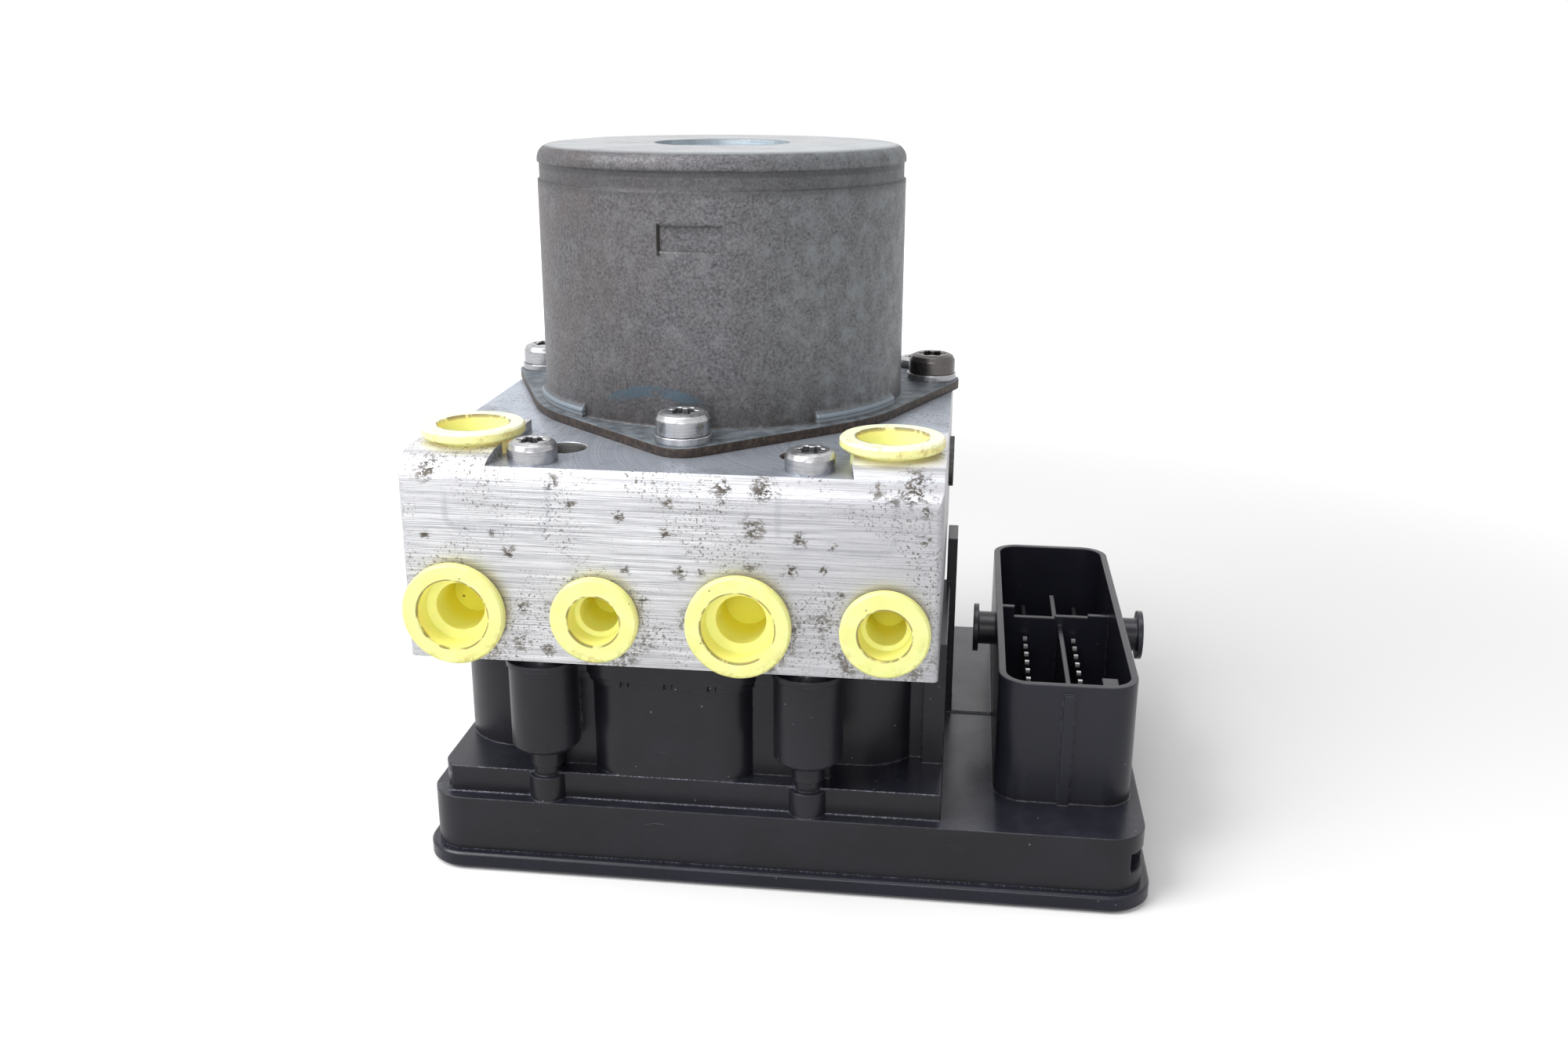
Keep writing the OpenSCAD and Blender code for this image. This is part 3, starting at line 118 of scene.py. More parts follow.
# Springs that shorten with their pistons: joint, axis, fixed end's level and stroke in millimetres
SPRINGS = {
    "pump_spring_left": ("pump_left_stroke", 0, -43.0, 1.6),
    "pump_spring_right": ("pump_right_stroke", 0, 43.0, 1.6),
    "accumulator_spring_left": ("accumulator_left_stroke", 1, 36.4, 5.0),
    "accumulator_spring_right": ("accumulator_right_stroke", 1, 36.4, 5.0),
}

# Camera at the photograph's place, from a fit of the block, the can and the ports to the picture
EYE = Vector((52.3, -310.5, 153.8)) / 1000
YAW, PITCH, ROLL = (math.radians(a) for a in (7.16, 17.49, 0.15))
FOCAL_PX = 1844.7
IMAGE_W = 2000
SENSOR_MM = 36

# Rays that the nodes for edges and creases send out at each point
NODE_RAYS = 6

# Studio in metres and watts: each lamp's place, size and power, and the point that all face
LAMPS = {
    "key": ((-0.6, -0.4, 0.8), 0.7, 9.5),
    "overhead": ((-0.1, -0.1, 1.1), 0.9, 4.0),
    "front": ((0.0, -0.8, 0.35), 0.35, 1.8),
}
LAMP_TARGET = (0.02, 0.0, 0.06)
WORLD_LIGHT = 0.34
WHITE = (1, 1, 1, 1)
FLOOR_HALF = 3.0
FLOOR_COLOUR = (0.82, 0.82, 0.82, 1)
FLOOR_GLOW = {"From Min": 0.2, "From Max": 0.7, "To Min": 0.1, "To Max": 1.0}


def rgb(r, g, b):
    """A colour written as 0..255 screen values, as the linear values that shaders take."""
    screen = (c / 255 for c in (r, g, b))
    linear = (((c + 0.055) / 1.055) ** 2.4 if c > 0.04 else c / 12.92 for c in screen)
    return (*linear, 1.0)


class Graph:
    """A material's node tree, with short calls for the nodes that the materials share."""

    def __init__(self, name):
        self.material = bpy.data.materials.new(name)
        self.material.use_nodes = True
        self.tree = self.material.node_tree
        self.tree.nodes.clear()
        out = self.tree.nodes.new("ShaderNodeOutputMaterial")
        self.bsdf = self.tree.nodes.new("ShaderNodeBsdfPrincipled")
        self.tree.links.new(self.bsdf.outputs[0], out.inputs[0])
        metres = self.tree.nodes.new("ShaderNodeTexCoord").outputs["Object"]
        self.place = self.vector("SCALE", metres, 1000)
        self.x, self.y, self.z = self.split(self.place)
        self.rounded = None
        self.colour = None

    def feed(self, socket, value):
        if isinstance(value, bpy.types.NodeSocket):
            self.tree.links.new(value, socket)
        else:
            socket.default_value = value

    def add(self, kind, **inputs):
        node = self.tree.nodes.new(kind)
        for name, value in inputs.items():
            self.feed(node.inputs[name.replace("_", " ")], value)
        return node

    def vector(self, operation, a, b):
        """A step of vector arithmetic; b is a number for SCALE and a vector otherwise."""
        node = self.tree.nodes.new("ShaderNodeVectorMath")
        node.operation = operation
        self.feed(node.inputs[0], a)
        self.feed(node.inputs["Scale" if operation == "SCALE" else 1], b)
        return node.outputs["Value" if operation == "DOT_PRODUCT" else 0]

    def stretch(self, vector, sizes):
        return self.vector("MULTIPLY", vector, sizes)

    def shift(self, vector, by):
        return self.vector("ADD", vector, by)

    def split(self, vector):
        return self.add("ShaderNodeSeparateXYZ", Vector=vector).outputs[:3]

    def math(self, operation, a, b=0.0):
        node = self.tree.nodes.new("ShaderNodeMath")
        node.operation = operation
        self.feed(node.inputs[0], a)
        self.feed(node.inputs[1], b)
        return node.outputs[0]

    def times(self, *values):
        result = values[0]
        for value in values[1:]:
            result = self.math("MULTIPLY", result, value)
        return result

    def either(self, *masks):
        result = masks[0]
        for mask in masks[1:]:
            result = self.math("MAXIMUM", result, mask)
        return result

    def rise(self, value, low, high, to_low=0.0, to_high=1.0):
        """A smooth step from to_low at low to to_high at high."""
        node = self.tree.nodes.new("ShaderNodeMapRange")
        node.interpolation_type = "SMOOTHSTEP"
        self.feed(node.inputs["Value"], value)
        node.inputs["From Min"].default_value = low
        node.inputs["From Max"].default_value = high
        node.inputs["To Min"].default_value = to_low
        node.inputs["To Max"].default_value = to_high
        return node.outputs[0]

    def band(self, value, low, high, soft):
        """1 between low and high, and 0 further out than soft."""
        return self.times(self.rise(value, low - soft, low), self.rise(value, high, high + soft, 1.0, 0.0))

    def noise(self, scale, detail=3.0, rough=0.5, vector=None, warp=0.0):
        place = self.place if vector is None else vector
        node = self.add(
            "ShaderNodeTexNoise", Vector=place, Scale=scale, Detail=detail, Roughness=rough, Distortion=warp
        )
        return node.outputs[0]

    def patches(self, scale, low, high, detail=5.0, rough=0.7, least=0.0, most=1.0):
        """Ragged patches where noise rises from low to high."""
        return self.rise(self.noise(scale, detail, rough), low, high, least, most)

    def dots(self, scale, radius, share):
        """Scattered round specks: the share of the cells that hold one, and its radius in cell widths."""
        cells = self.add("ShaderNodeTexVoronoi", Vector=self.place, Scale=scale)
        tone = self.tree.nodes.new("ShaderNodeSeparateColor")
        self.feed(tone.inputs[0], cells.outputs["Color"])
        spot = self.rise(cells.outputs["Distance"], 0.6 * radius, radius, 1.0, 0.0)
        return self.times(spot, self.rise(tone.outputs[0], share, share + 0.02, 1.0, 0.0))

    def mix(self, mask, a, b):
        node = self.tree.nodes.new("ShaderNodeMix")
        node.data_type = "RGBA"
        self.feed(node.inputs[0], mask)
        self.feed(node.inputs[6], a)
        self.feed(node.inputs[7], b)
        return node.outputs[2]

    def paint(self, mask, colour):
        """Lays a colour over what is there, where the mask is up."""
        self.colour = self.mix(mask, self.colour, colour)

    def radius(self, a, b, at_a=0.0, at_b=0.0):
        da = self.math("SUBTRACT", a, at_a)
        db = self.math("SUBTRACT", b, at_b)
        return self.math("SQRT", self.math("ADD", self.times(da, da), self.times(db, db)))

    def facing(self, axis):
        """How far the surface faces along an axis, either way."""
        normal = self.tree.nodes.new("ShaderNodeTexCoord").outputs["Normal"]
        return self.math("ABSOLUTE", self.split(normal)[axis])

    def edges(self, radius_mm):
        """Mask of the narrow zones along edges and corners, whose shading is rounded too."""
        bevel = self.add("ShaderNodeBevel", Radius=radius_mm / 1000)
        bevel.samples = NODE_RAYS
        self.rounded = bevel.outputs[0]
        flat = self.tree.nodes.new("ShaderNodeNewGeometry").outputs["Normal"]
        return self.rise(self.vector("DOT_PRODUCT", self.rounded, flat), 0.98, 0.86)

    def creases(self, reach_mm, open_at=0.8, full_at=0.45):
        """Mask of the inner corners and gaps where dust and dirt collect."""
        node = self.add("ShaderNodeAmbientOcclusion", Distance=reach_mm / 1000)
        node.samples = NODE_RAYS
        node.only_local = True
        return self.rise(node.outputs["AO"], open_at, full_at)

    def bump(self, height, distance_mm, strength=1.0):
        node = self.add("ShaderNodeBump", Height=height, Distance=distance_mm / 1000, Strength=strength)
        if self.rounded:
            self.feed(node.inputs["Normal"], self.rounded)
        self.feed(self.bsdf.inputs["Normal"], node.outputs[0])

    def finish(self, roughness, metallic=0.0, **sockets):
        self.feed(self.bsdf.inputs["Base Color"], self.colour)
        self.feed(self.bsdf.inputs["Roughness"], roughness)
        self.bsdf.inputs["Metallic"].default_value = metallic
        for name, value in sockets.items():
            self.bsdf.inputs[name.replace("_", " ")].default_value = value
        return self.material


# Colours of the block
BRUSHED_DARK, BRUSHED_LIGHT = rgb(146, 147, 151), rgb(222, 222, 225)
# the second colour here is painted shade that darkens the block towards the right
BLOCK_CLOUD, BLOCK_SHADED_RIGHT = rgb(176, 176, 179), rgb(152, 152, 157)
MILLED_DARK, MILLED_LIGHT, MILLED_CLOUD = rgb(174, 182, 195), rgb(206, 213, 225), rgb(128, 130, 136)
# the first colour here is painted light on the pads' tops
PAD_PAINTED_LIGHT, BARE_EDGE = rgb(238, 238, 242), rgb(240, 240, 241)
# the first two colours are painted shade mixed with dirt, in the sunk holes and in the creases
HOLE_SHADE_AND_DIRT, CREASE_SHADE_AND_DIRT, MARK_LINE = rgb(84, 76, 64), rgb(74, 70, 66), rgb(140, 142, 150)
DIRT_DARK, DIRT_LIGHT = rgb(66, 57, 44), rgb(104, 98, 88)

# Brush lines on the block: how fast its noise changes along them and across them
BRUSH_ALONG = 0.05
BRUSH_ACROSS = 7.5


def brush_lines(g):
    """Fine lines that run across the front, the back and the top, and front to back on the sides."""
    side = g.rise(g.facing(0), 0.6, 0.8)
    across = g.noise(1.0, 3.0, 0.8, g.stretch(g.place, (BRUSH_ALONG, BRUSH_ACROSS, BRUSH_ACROSS)))
    along = g.noise(1.0, 3.0, 0.8, g.stretch(g.place, (BRUSH_ACROSS, BRUSH_ALONG, BRUSH_ACROSS)))
    return g.math("ADD", g.times(across, g.math("SUBTRACT", 1.0, side)), g.times(along, side))


def paint_block_tops(g):
    """The milled recess with its tool swirls, and painted light on the pads of the top ports."""
    up = g.rise(g.facing(2), 0.6, 0.9)
    recess = g.times(up, g.band(g.z, MOTOR_FACE - 0.3, MOTOR_FACE + 0.3, 0.3))
    swirl = g.noise(1.0, 2.0, 0.5, g.stretch(g.radius(g.x, g.y, *SWIRL_AT), (3.0, 3.0, 3.0)))
    milled = g.mix(g.rise(swirl, 0.35, 0.65), MILLED_DARK, MILLED_LIGHT)
    milled = g.mix(g.patches(0.12, 0.5, 0.72, 5.0, 0.65, 0.0, 0.5), milled, MILLED_CLOUD)
    g.paint(g.times(recess, 0.9), milled)
    # painted light brightens the pads' tops
    pads = g.times(up, g.rise(g.z, PAD_TOP - 0.5, PAD_TOP - 0.2))
    g.paint(g.times(pads, 0.8), PAD_PAINTED_LIGHT)


def paint_screw_holes(g):
    """Painted shade and brown dirt in the holes beside the control unit's screws."""
    sunk = g.rise(g.z, MOTOR_FACE - 0.2, MOTOR_FACE - 1.0)
    near = g.rise(g.radius(g.x, g.y, *HOLES_AT), HOLES_REACH + 1.0, HOLES_REACH - 1.0)
    behind_front = g.rise(g.y, BLOCK_FRONT + 1.0, BLOCK_FRONT + 2.0)
    before_motor = g.rise(g.y, HOLES_BACK + 1.0, HOLES_BACK - 1.0)
    # painted shade with brown dirt in the sunk holes
    g.paint(g.times(sunk, near, behind_front, before_motor, 0.8), HOLE_SHADE_AND_DIRT)


def stain_clusters(g, drift):
    """Ragged clusters of dirt at the places of STAINS, and weaker ones where dirt has drifted."""
    spots = (g.rise(g.radius(g.x, g.z, x, z), 1.35 * size, 0.2 * size) for x, z, size in STAINS)
    zones = g.times(g.either(*spots), g.rise(g.y, STAINS_BACK + 1.0, STAINS_BACK - 1.0))
    ragged = g.noise(0.95, 9.0, 0.78, g.stretch(g.place, (0.75, 1.0, 1.15)), 0.5)
    clusters = g.rise(g.math("ADD", ragged, g.times(zones, 0.12)), 0.6, 0.63)
    return g.times(clusters, g.either(zones, g.times(drift, 0.6)))


def dirt_round_plugs(g):
    """Patchy dirt on the front, beside and below the plugs' flanges."""
    rings = (g.rise(g.radius(g.x, g.z, i * PORT_PITCH, PORT_Z), 12.6, 10.3) for i in FRONT_PORTS)
    front = g.rise(g.y, BLOCK_FRONT + 0.6, BLOCK_FRONT + 0.3)
    low = g.rise(g.z, PORT_Z + 6.0, PORT_Z)
    patchy = g.patches(0.12, 0.45, 0.55, 3.0, 0.5)
    crumbs = g.patches(0.9, 0.47, 0.57, 6.0, 0.75)
    return g.times(g.either(*rings), front, patchy, low, crumbs, 0.8)


def block_stains(g):
    """Mask of all dirt on the block: clusters, dirt round the plugs, and pits and crumbs all over."""
    drift = g.rise(g.noise(0.06, 3.0, 0.6, g.shift(g.place, (7.0, 0.0, 3.0))), 0.42, 0.6)
    pits = g.either(g.dots(0.8, 0.2, 0.16), g.dots(1.9, 0.26, 0.2))
    pits = g.times(pits, g.rise(drift, 0.0, 1.0, 0.25, 1.0), 0.75)
    crumbs = g.times(g.patches(1.8, 0.57, 0.62, 4.0, 0.65), g.rise(drift, 0.2, 1.0, 0.1, 1.0), 0.85)
    return g.either(stain_clusters(g, drift), pits, dirt_round_plugs(g), crumbs)


def outline_mark(g, centre, half):
    """A soft line along a rounded rectangle on the front, as a mask."""
    du = g.math("ABSOLUTE", g.math("SUBTRACT", g.x, centre[0]))
    dv = g.math("ABSOLUTE", g.math("SUBTRACT", g.z, centre[1]))
    du = g.math("SUBTRACT", du, half[0] - MARK_CORNER)
    dv = g.math("SUBTRACT", dv, half[1] - MARK_CORNER)
    outside = g.radius(g.math("MAXIMUM", du, 0.0), g.math("MAXIMUM", dv, 0.0))
    inside = g.math("MINIMUM", g.math("MAXIMUM", du, dv), 0.0)
    away = g.math("ABSOLUTE", g.math("SUBTRACT", g.math("ADD", outside, inside), MARK_CORNER))
    return g.rise(away, 0.3 * MARK_WIDTH, MARK_WIDTH, 1.0, 0.0)


def paint_marks(g):
    """Draws the two pressed marks, faint and broken."""
    front = g.rise(g.y, BLOCK_FRONT + 0.4, BLOCK_FRONT + 0.1)
    marks = g.either(*(outline_mark(g, centre, half) for centre, half in MARKS))
    g.paint(g.times(marks, front, g.patches(0.25, 0.35, 0.6, 3.0, 0.5), 0.34), MARK_LINE)


def milled_aluminium():
    """The block: brushed and milled, with painted shade darkening it to the right, rubbed edges, dirt,
    painted shade and grime in its creases, and two marks.
    """
    g = Graph("milled_aluminium")
    lines = brush_lines(g)
    g.colour = g.mix(g.rise(lines, 0.36, 0.64), BRUSHED_DARK, BRUSHED_LIGHT)
    g.paint(g.patches(0.05, 0.42, 0.7, 4.0, 0.6, 0.0, 0.4), BLOCK_CLOUD)
    # painted shade, darker towards the right
    g.paint(g.rise(g.x, -15.0, 46.0, 0.0, 0.6), BLOCK_SHADED_RIGHT)
    paint_block_tops(g)
    paint_screw_holes(g)
    g.paint(g.times(g.edges(0.35), g.patches(0.5, 0.3, 0.6), 0.75), BARE_EDGE)
    stain = block_stains(g)
    g.paint(g.times(stain, 0.9), g.mix(g.patches(0.3, 0.4, 0.65, 2.0, 0.5), DIRT_DARK, DIRT_LIGHT))
    # painted shade and grime where the creases mask is up
    g.paint(g.times(g.creases(2.0), g.patches(0.6, 0.35, 0.6, 4.0, 0.65), 0.55), CREASE_SHADE_AND_DIRT)
    paint_marks(g)
    g.bump(g.math("ADD", g.times(lines, 0.3), g.times(stain, -1.0)), 0.04, 0.6)
    rough = g.math("ADD", g.rise(lines, 0.3, 0.7, 0.44, 0.34), g.times(stain, 0.3))
    return g.finish(rough, metallic=0.75)


# Colours of the motor's can
ZINC_DARK, ZINC_LIGHT, ZINC_SPOT = rgb(56, 55, 58), rgb(110, 109, 113), rgb(122, 123, 126)
# painted brownish shade for the can's left side, then painted bluish reflection and painted light for its
# right side
ZINC_SHADED_LEFT, ZINC_BLUISH_REFLECTION, ZINC_LIT_RIGHT = rgb(92, 84, 82), rgb(132, 139, 142), rgb(122, 126, 128)
# the last colour here is painted shade on the pressed band
ZINC_SCUFF, ZINC_PIT, PRESSED_BAND_SHADE = rgb(150, 152, 154), rgb(48, 45, 44), rgb(62, 62, 65)
# the first colour here is painted shade in the pocket's slit
SLIT_SHADE, FOOT_GRIME, INK = rgb(30, 28, 28), rgb(66, 62, 61), rgb(72, 94, 108)
# the last colour here is painted shade mixed with dirt in the flange's corners
PLATE_DARK, PLATE_LIGHT, PLATE_SHADE_AND_DIRT = rgb(92, 99, 106), rgb(132, 139, 145), rgb(62, 55, 50)
RUST_DARK, RUST_LIGHT = rgb(50, 43, 40), rgb(86, 72, 63)
# painted reflection on the lid, and painted highlights on the beads
LID_REFLECTION, BEAD_HIGHLIGHT = rgb(186, 191, 196), rgb(138, 150, 160)
DISH_DARK, DISH_LIGHT = rgb(150, 162, 171), rgb(176, 187, 194)


def paint_can_skin(g, grain, spots):
    """Grainy zinc with painted brownish shade on the left and painted pale bluish light on the right, with
    scuffs and pits.
    """
    g.colour = g.mix(g.rise(grain, 0.3, 0.7), ZINC_DARK, ZINC_LIGHT)
    g.paint(g.rise(spots, 0.45, 0.75, 0.0, 0.45), ZINC_SPOT)
    cloud = g.noise(0.05, 4.0, 0.6, g.shift(g.place, (11.0, 5.0, 2.0)))
    # painted shade darkens the left side, and painted bluish reflection and light brighten the right side
    g.paint(g.times(g.rise(g.x, 8.0, -30.0), g.rise(cloud, 0.38, 0.62), 0.45), ZINC_SHADED_LEFT)
    g.paint(g.times(g.rise(g.x, 8.0, 34.0), g.rise(spots, 0.36, 0.72), 0.55), ZINC_BLUISH_REFLECTION)
    g.paint(g.times(g.rise(g.x, 4.0, 26.0), g.rise(grain, 0.2, 0.6), 0.35), ZINC_LIT_RIGHT)
    scuffs = g.noise(0.5, 6.0, 0.75, g.stretch(g.place, (1.0, 1.0, 0.6)))
    g.paint(g.times(g.rise(scuffs, 0.61, 0.7), 0.3), ZINC_SCUFF)
    g.paint(g.times(g.dots(0.6, 0.18, 0.1), 0.6), ZINC_PIT)


def paint_can_side(g):
    """Painted shade on the pressed band with its line and in the pocket's slit, the grimy foot and the smear
    of ink.
    """
    # painted shade on the pressed band and its line
    band = g.times(g.band(g.z, CAN_TOP - 7.4, CAN_TOP - 4.2, 1.6), 0.6)
    line = g.band(g.z, CAN_TOP - 4.4, CAN_TOP - 4.0, 0.9)
    g.paint(g.times(g.either(band, line), g.rise(g.facing(2), 0.5, 0.2), 0.75), PRESSED_BAND_SHADE)
    front = g.rise(g.y, 0.0, -20.0)
    slit = g.times(g.band(g.x, *SLIT_X, 0.12), g.band(g.z, *SLIT_Z, 0.4), front)
    # painted shade in the pocket's slit
    g.paint(g.times(slit, 0.95), SLIT_SHADE)
    foot = g.rise(g.z, GRIME_TOP, FLANGE_TOP)
    g.paint(g.times(foot, g.patches(0.4, 0.3, 0.65, 4.0, 0.6), 0.6), FOOT_GRIME)
    away = g.radius(g.x, g.math("MULTIPLY", g.z, INK_FLAT), INK_AT[0], INK_FLAT * INK_AT[1])
    arc = g.times(g.band(away, *INK_RADII, 1.2), g.rise(g.z, 89.5, 92.0), front)
    g.paint(g.times(arc, g.patches(0.5, 0.3, 0.55, 4.0, 0.6), 0.7), INK)


def paint_flange(g, wide):
    """The flange's bluish top with painted shade and dirt in its corners, and its rusty cut edge."""
    top = g.times(g.rise(g.z, FLANGE_TOP + 0.15, FLANGE_TOP + 0.02), g.rise(wide, CAN_R - 0.4, CAN_R + 0.1))
    g.paint(top, g.mix(g.patches(0.3, 0.35, 0.65, 5.0, 0.65), PLATE_DARK, PLATE_LIGHT))
    # painted shade and dirt in the flange's corners
    g.paint(g.times(g.creases(3.0, 0.75, 0.4), g.patches(0.8, 0.35, 0.6), 0.7), PLATE_SHADE_AND_DIRT)
    edge = g.times(g.rise(g.z, FLANGE_TOP - 0.02, FLANGE_TOP - 0.12), g.rise(wide, CAN_R, CAN_R + 0.3))
    g.paint(edge, g.mix(g.patches(0.9, 0.4, 0.7), RUST_DARK, RUST_LIGHT))


def paint_beads(g, wide):
    """Painted highlight lines along the stepped beads above the flange."""
    bead = g.rise(wide, CAN_R + 0.1, CAN_R + 0.4)
    bead = g.times(bead, g.band(g.z, FLANGE_TOP + 0.3, FLANGE_TOP + 4.0, 0.2))
    upper = g.band(g.z, FLANGE_TOP + 1.3, FLANGE_TOP + 1.7, 0.3)
    lower = g.band(g.z, FLANGE_TOP + 0.5, FLANGE_TOP + 0.8, 0.2)
    # painted highlight on the beads' shoulders
    g.paint(g.times(bead, g.rise(g.either(upper, lower), 0.0, 1.0, 0.2, 0.8)), BEAD_HIGHLIGHT)


def paint_dish(g, wide):
    """The bright sunk disc in the lid."""
    sunk = g.times(g.rise(g.z, CAN_TOP - 0.02, CAN_TOP - 0.1), g.rise(g.z, DISH_FLOOR - 4.0, DISH_FLOOR))
    bright = g.mix(g.patches(0.2, 0.35, 0.65, 5.0, 0.65), DISH_DARK, DISH_LIGHT)
    g.paint(g.times(g.rise(wide, DISH_R + 0.4, DISH_R), sunk), bright)


def zinc_can():
    """The motor's can with its flange."""
    g = Graph("mottled_zinc")
    grain = g.noise(1.7, 5.0, 0.8)
    spots = g.noise(0.28, 5.0, 0.65)
    wide = g.radius(g.x, g.y)
    paint_can_skin(g, grain, spots)
    paint_can_side(g)
    paint_flange(g, wide)
    # painted reflection brightens the lid's top
    lid = g.times(g.rise(g.facing(2), 0.82, 1.0), g.rise(g.z, CAN_TOP - 3.0, CAN_TOP - 2.0))
    lid = g.times(lid, g.patches(0.12, 0.3, 0.6, 6.0, 0.7, 0.72, 1.0))
    g.paint(g.times(lid, 0.72), LID_REFLECTION)
    paint_beads(g, wide)
    paint_dish(g, wide)
    g.edges(0.9)
    g.bump(g.math("ADD", g.times(grain, 0.5), g.times(spots, 0.5)), 0.06, 0.5)
    rough = g.math("SUBTRACT", g.rise(grain, 0.3, 0.75, 0.58, 0.46), g.times(lid, 0.28))
    return g.finish(rough, metallic=0.5)


# Colours of the plugs by the axis they sit on: two of the flange, and one of the inside, lightened with
# painted light; the top plugs' set is paler with painted highlight
PLUG_TONES_AND_LIGHT = {
    "y": (rgb(227, 227, 142), rgb(234, 235, 160), rgb(255, 247, 150)),
    "z": (rgb(247, 248, 206), rgb(250, 251, 222), rgb(255, 251, 172)),
}
# the first colour here is painted deep-yellow shade far inside the plugs
DEEP_PLUG_SHADE, PLUG_RING = rgb(252, 236, 66), rgb(104, 94, 40)
PLUG_SMUDGE, PLUG_SPECK = rgb(170, 158, 74), rgb(66, 56, 24)


def plug_depth(g, along):
    """How far a point lies behind the plug's face, in millimetres."""
    if along == "y":
        return g.math("SUBTRACT", g.y, BLOCK_FRONT - PLUG_PROUD)
    return g.math("SUBTRACT", PAD_TOP + PLUG_PROUD, g.z)


def plug_plastic(name, along, centre, mouth):
    """Yellow plastic of a plug: its axis runs along y or z through centre, and mouth is its inner radius."""
    g = Graph(name)
    across, up = (g.x, g.z) if along == "y" else (g.x, g.y)
    wide = g.radius(across, up, *centre)
    depth = plug_depth(g, along)
    face = g.rise(depth, 1.0, 0.5)
    cloud = g.noise(0.25, 4.0, 0.6)
    pale, paler, inside = PLUG_TONES_AND_LIGHT[along]
    g.colour = g.mix(g.rise(cloud, 0.35, 0.7), pale, paler)
    # painted light lightens the inside of the plug
    g.paint(g.rise(depth, 0.1, 0.8), inside)
    # painted deep-yellow shade far inside the plug
    g.paint(g.rise(depth, 6.0, 12.0, 0.0, 0.8), DEEP_PLUG_SHADE)
    broken = g.patches(0.35, 0.4, 0.5, 4.0, 0.6, 0.1, 1.0)
    g.paint(g.times(g.band(wide, mouth + 0.02, mouth + 0.22, 0.1), face, broken, 0.8), PLUG_RING)
    low = g.rise(up, centre[1] + 3.0, centre[1] - 9.0)
    rim = g.rise(wide, mouth + 1.0, mouth + 2.6)
    g.paint(g.times(g.patches(0.4, 0.47, 0.62, 6.0, 0.75), rim, low, 0.55), PLUG_SMUDGE)
    specks = g.times(g.dots(0.6, 0.13, 0.12), face)
    if along == "y":
        specks = g.either(specks, g.times(g.dots(0.42, 0.17, 0.2), g.rise(depth, 5.0, 7.0)))
    g.paint(g.times(specks, 0.85), PLUG_SPECK)
    g.edges(0.25)
    g.bump(g.noise(1.6, 3.0, 0.5), 0.03, 0.4)
    rough = g.rise(cloud, 0.3, 0.7, 0.36, 0.48)
    return g.finish(rough, Subsurface_Weight=0.3, Subsurface_Scale=0.005)


# Colours of the screws and other turned steel
# the first colour here is painted shade on the sides, and the colour of the next line's first name is
# painted shade in recesses
STEEL_FLANK_SHADE, STEEL_EDGE, STEEL_SPECK = rgb(112, 113, 118), rgb(236, 237, 240), rgb(70, 62, 54)
STEEL_RECESS_SHADE, STEEL_GAP, STEEL_WORN = rgb(44, 39, 36), rgb(40, 37, 36), rgb(72, 66, 62)


def turned_steel(name, light, dark, worn=None, gap=None):
    """Turned steel; worn makes the mask of a dull part, and gap is the level of a dark joint."""
    g = Graph(name)
    grain = g.noise(0.9, 3.0, 0.5)
    rings = g.noise(1.0, 3.0, 0.6, g.stretch(g.place, (0.2, 0.2, 4.0)))
    turned = g.math("ADD", g.times(grain, 0.4), g.times(rings, 0.6))
    g.colour = g.mix(g.rise(turned, 0.35, 0.65), dark, light)
    # painted shade on the sides that do not face up
    g.paint(g.rise(g.facing(2), 0.6, 0.2, 0.0, 0.6), STEEL_FLANK_SHADE)
    g.paint(g.times(g.edges(0.4), 0.6), STEEL_EDGE)
    g.paint(g.times(g.dots(1.3, 0.18, 0.05), 0.4), STEEL_SPECK)
    # painted shade in the driver recesses and creases
    g.paint(g.times(g.creases(1.6, 0.72, 0.25), 0.9), STEEL_RECESS_SHADE)
    if gap:
        g.paint(g.times(g.band(g.z, gap - 0.1, gap + 0.12, 0.08), 0.9), STEEL_GAP)
    if worn:
        g.paint(worn(g), STEEL_WORN)
    g.bump(g.math("ADD", g.times(grain, 0.3), g.times(rings, 0.5)), 0.008, 0.3)
    return g.finish(g.rise(grain, 0.3, 0.7, 0.24, 0.34), metallic=0.9)


def worn_screw(g):
    """Mask of the one motor screw, rear right, that has lost its plating."""
    return g.times(g.rise(g.x, 20.0, 24.0), g.rise(g.y, 0.0, 4.0), 0.85)


# Colours of dust, wear, painted reflection and painted highlight on the black plastic
# the first colour here is painted bluish reflection, and the last is pale edges, partly wear and partly
# painted highlight
PLASTIC_BLUE_REFLECTION, DUST_FILM, EDGE_WEAR_AND_HIGHLIGHT = rgb(32, 33, 43), rgb(104, 108, 124), rgb(96, 98, 106)
# the middle colour here is painted bluish reflection on the strip beside the block
SETTLED_DUST, STRIP_REFLECTION, SCUFFED = rgb(120, 124, 132), rgb(92, 94, 106), rgb(112, 112, 122)
DUST_LINE, WHITE_SPECK = rgb(150, 154, 168), rgb(176, 178, 184)


def dust_lines(g):
    """Thin broken lines of bright dust along the housing's front joints and edges."""
    front = g.rise(g.y, STEP_FRONT + 0.35, STEP_FRONT + 0.1)
    front = g.times(front, g.rise(g.y, STEP_FRONT - 0.45, STEP_FRONT - 0.2))
    across = g.band(g.x, *STEP_SIDES, 0.5)
    foot = g.times(g.band(g.z, TRAY_TOP - 0.05, TRAY_TOP + 0.14, 0.07), front, across)
    lip = g.times(g.band(g.z, STEP_TOP - 0.1, STEP_TOP + 0.1, 0.06), front, across, 0.8)
    joint = g.times(g.band(g.z, COVER_TOP, COVER_TOP + 0.22, 0.1), 0.8)
    return g.times(g.either(foot, lip, joint), g.patches(2.4, 0.48, 0.6, 4.0, 0.75, 0.08, 1.0))


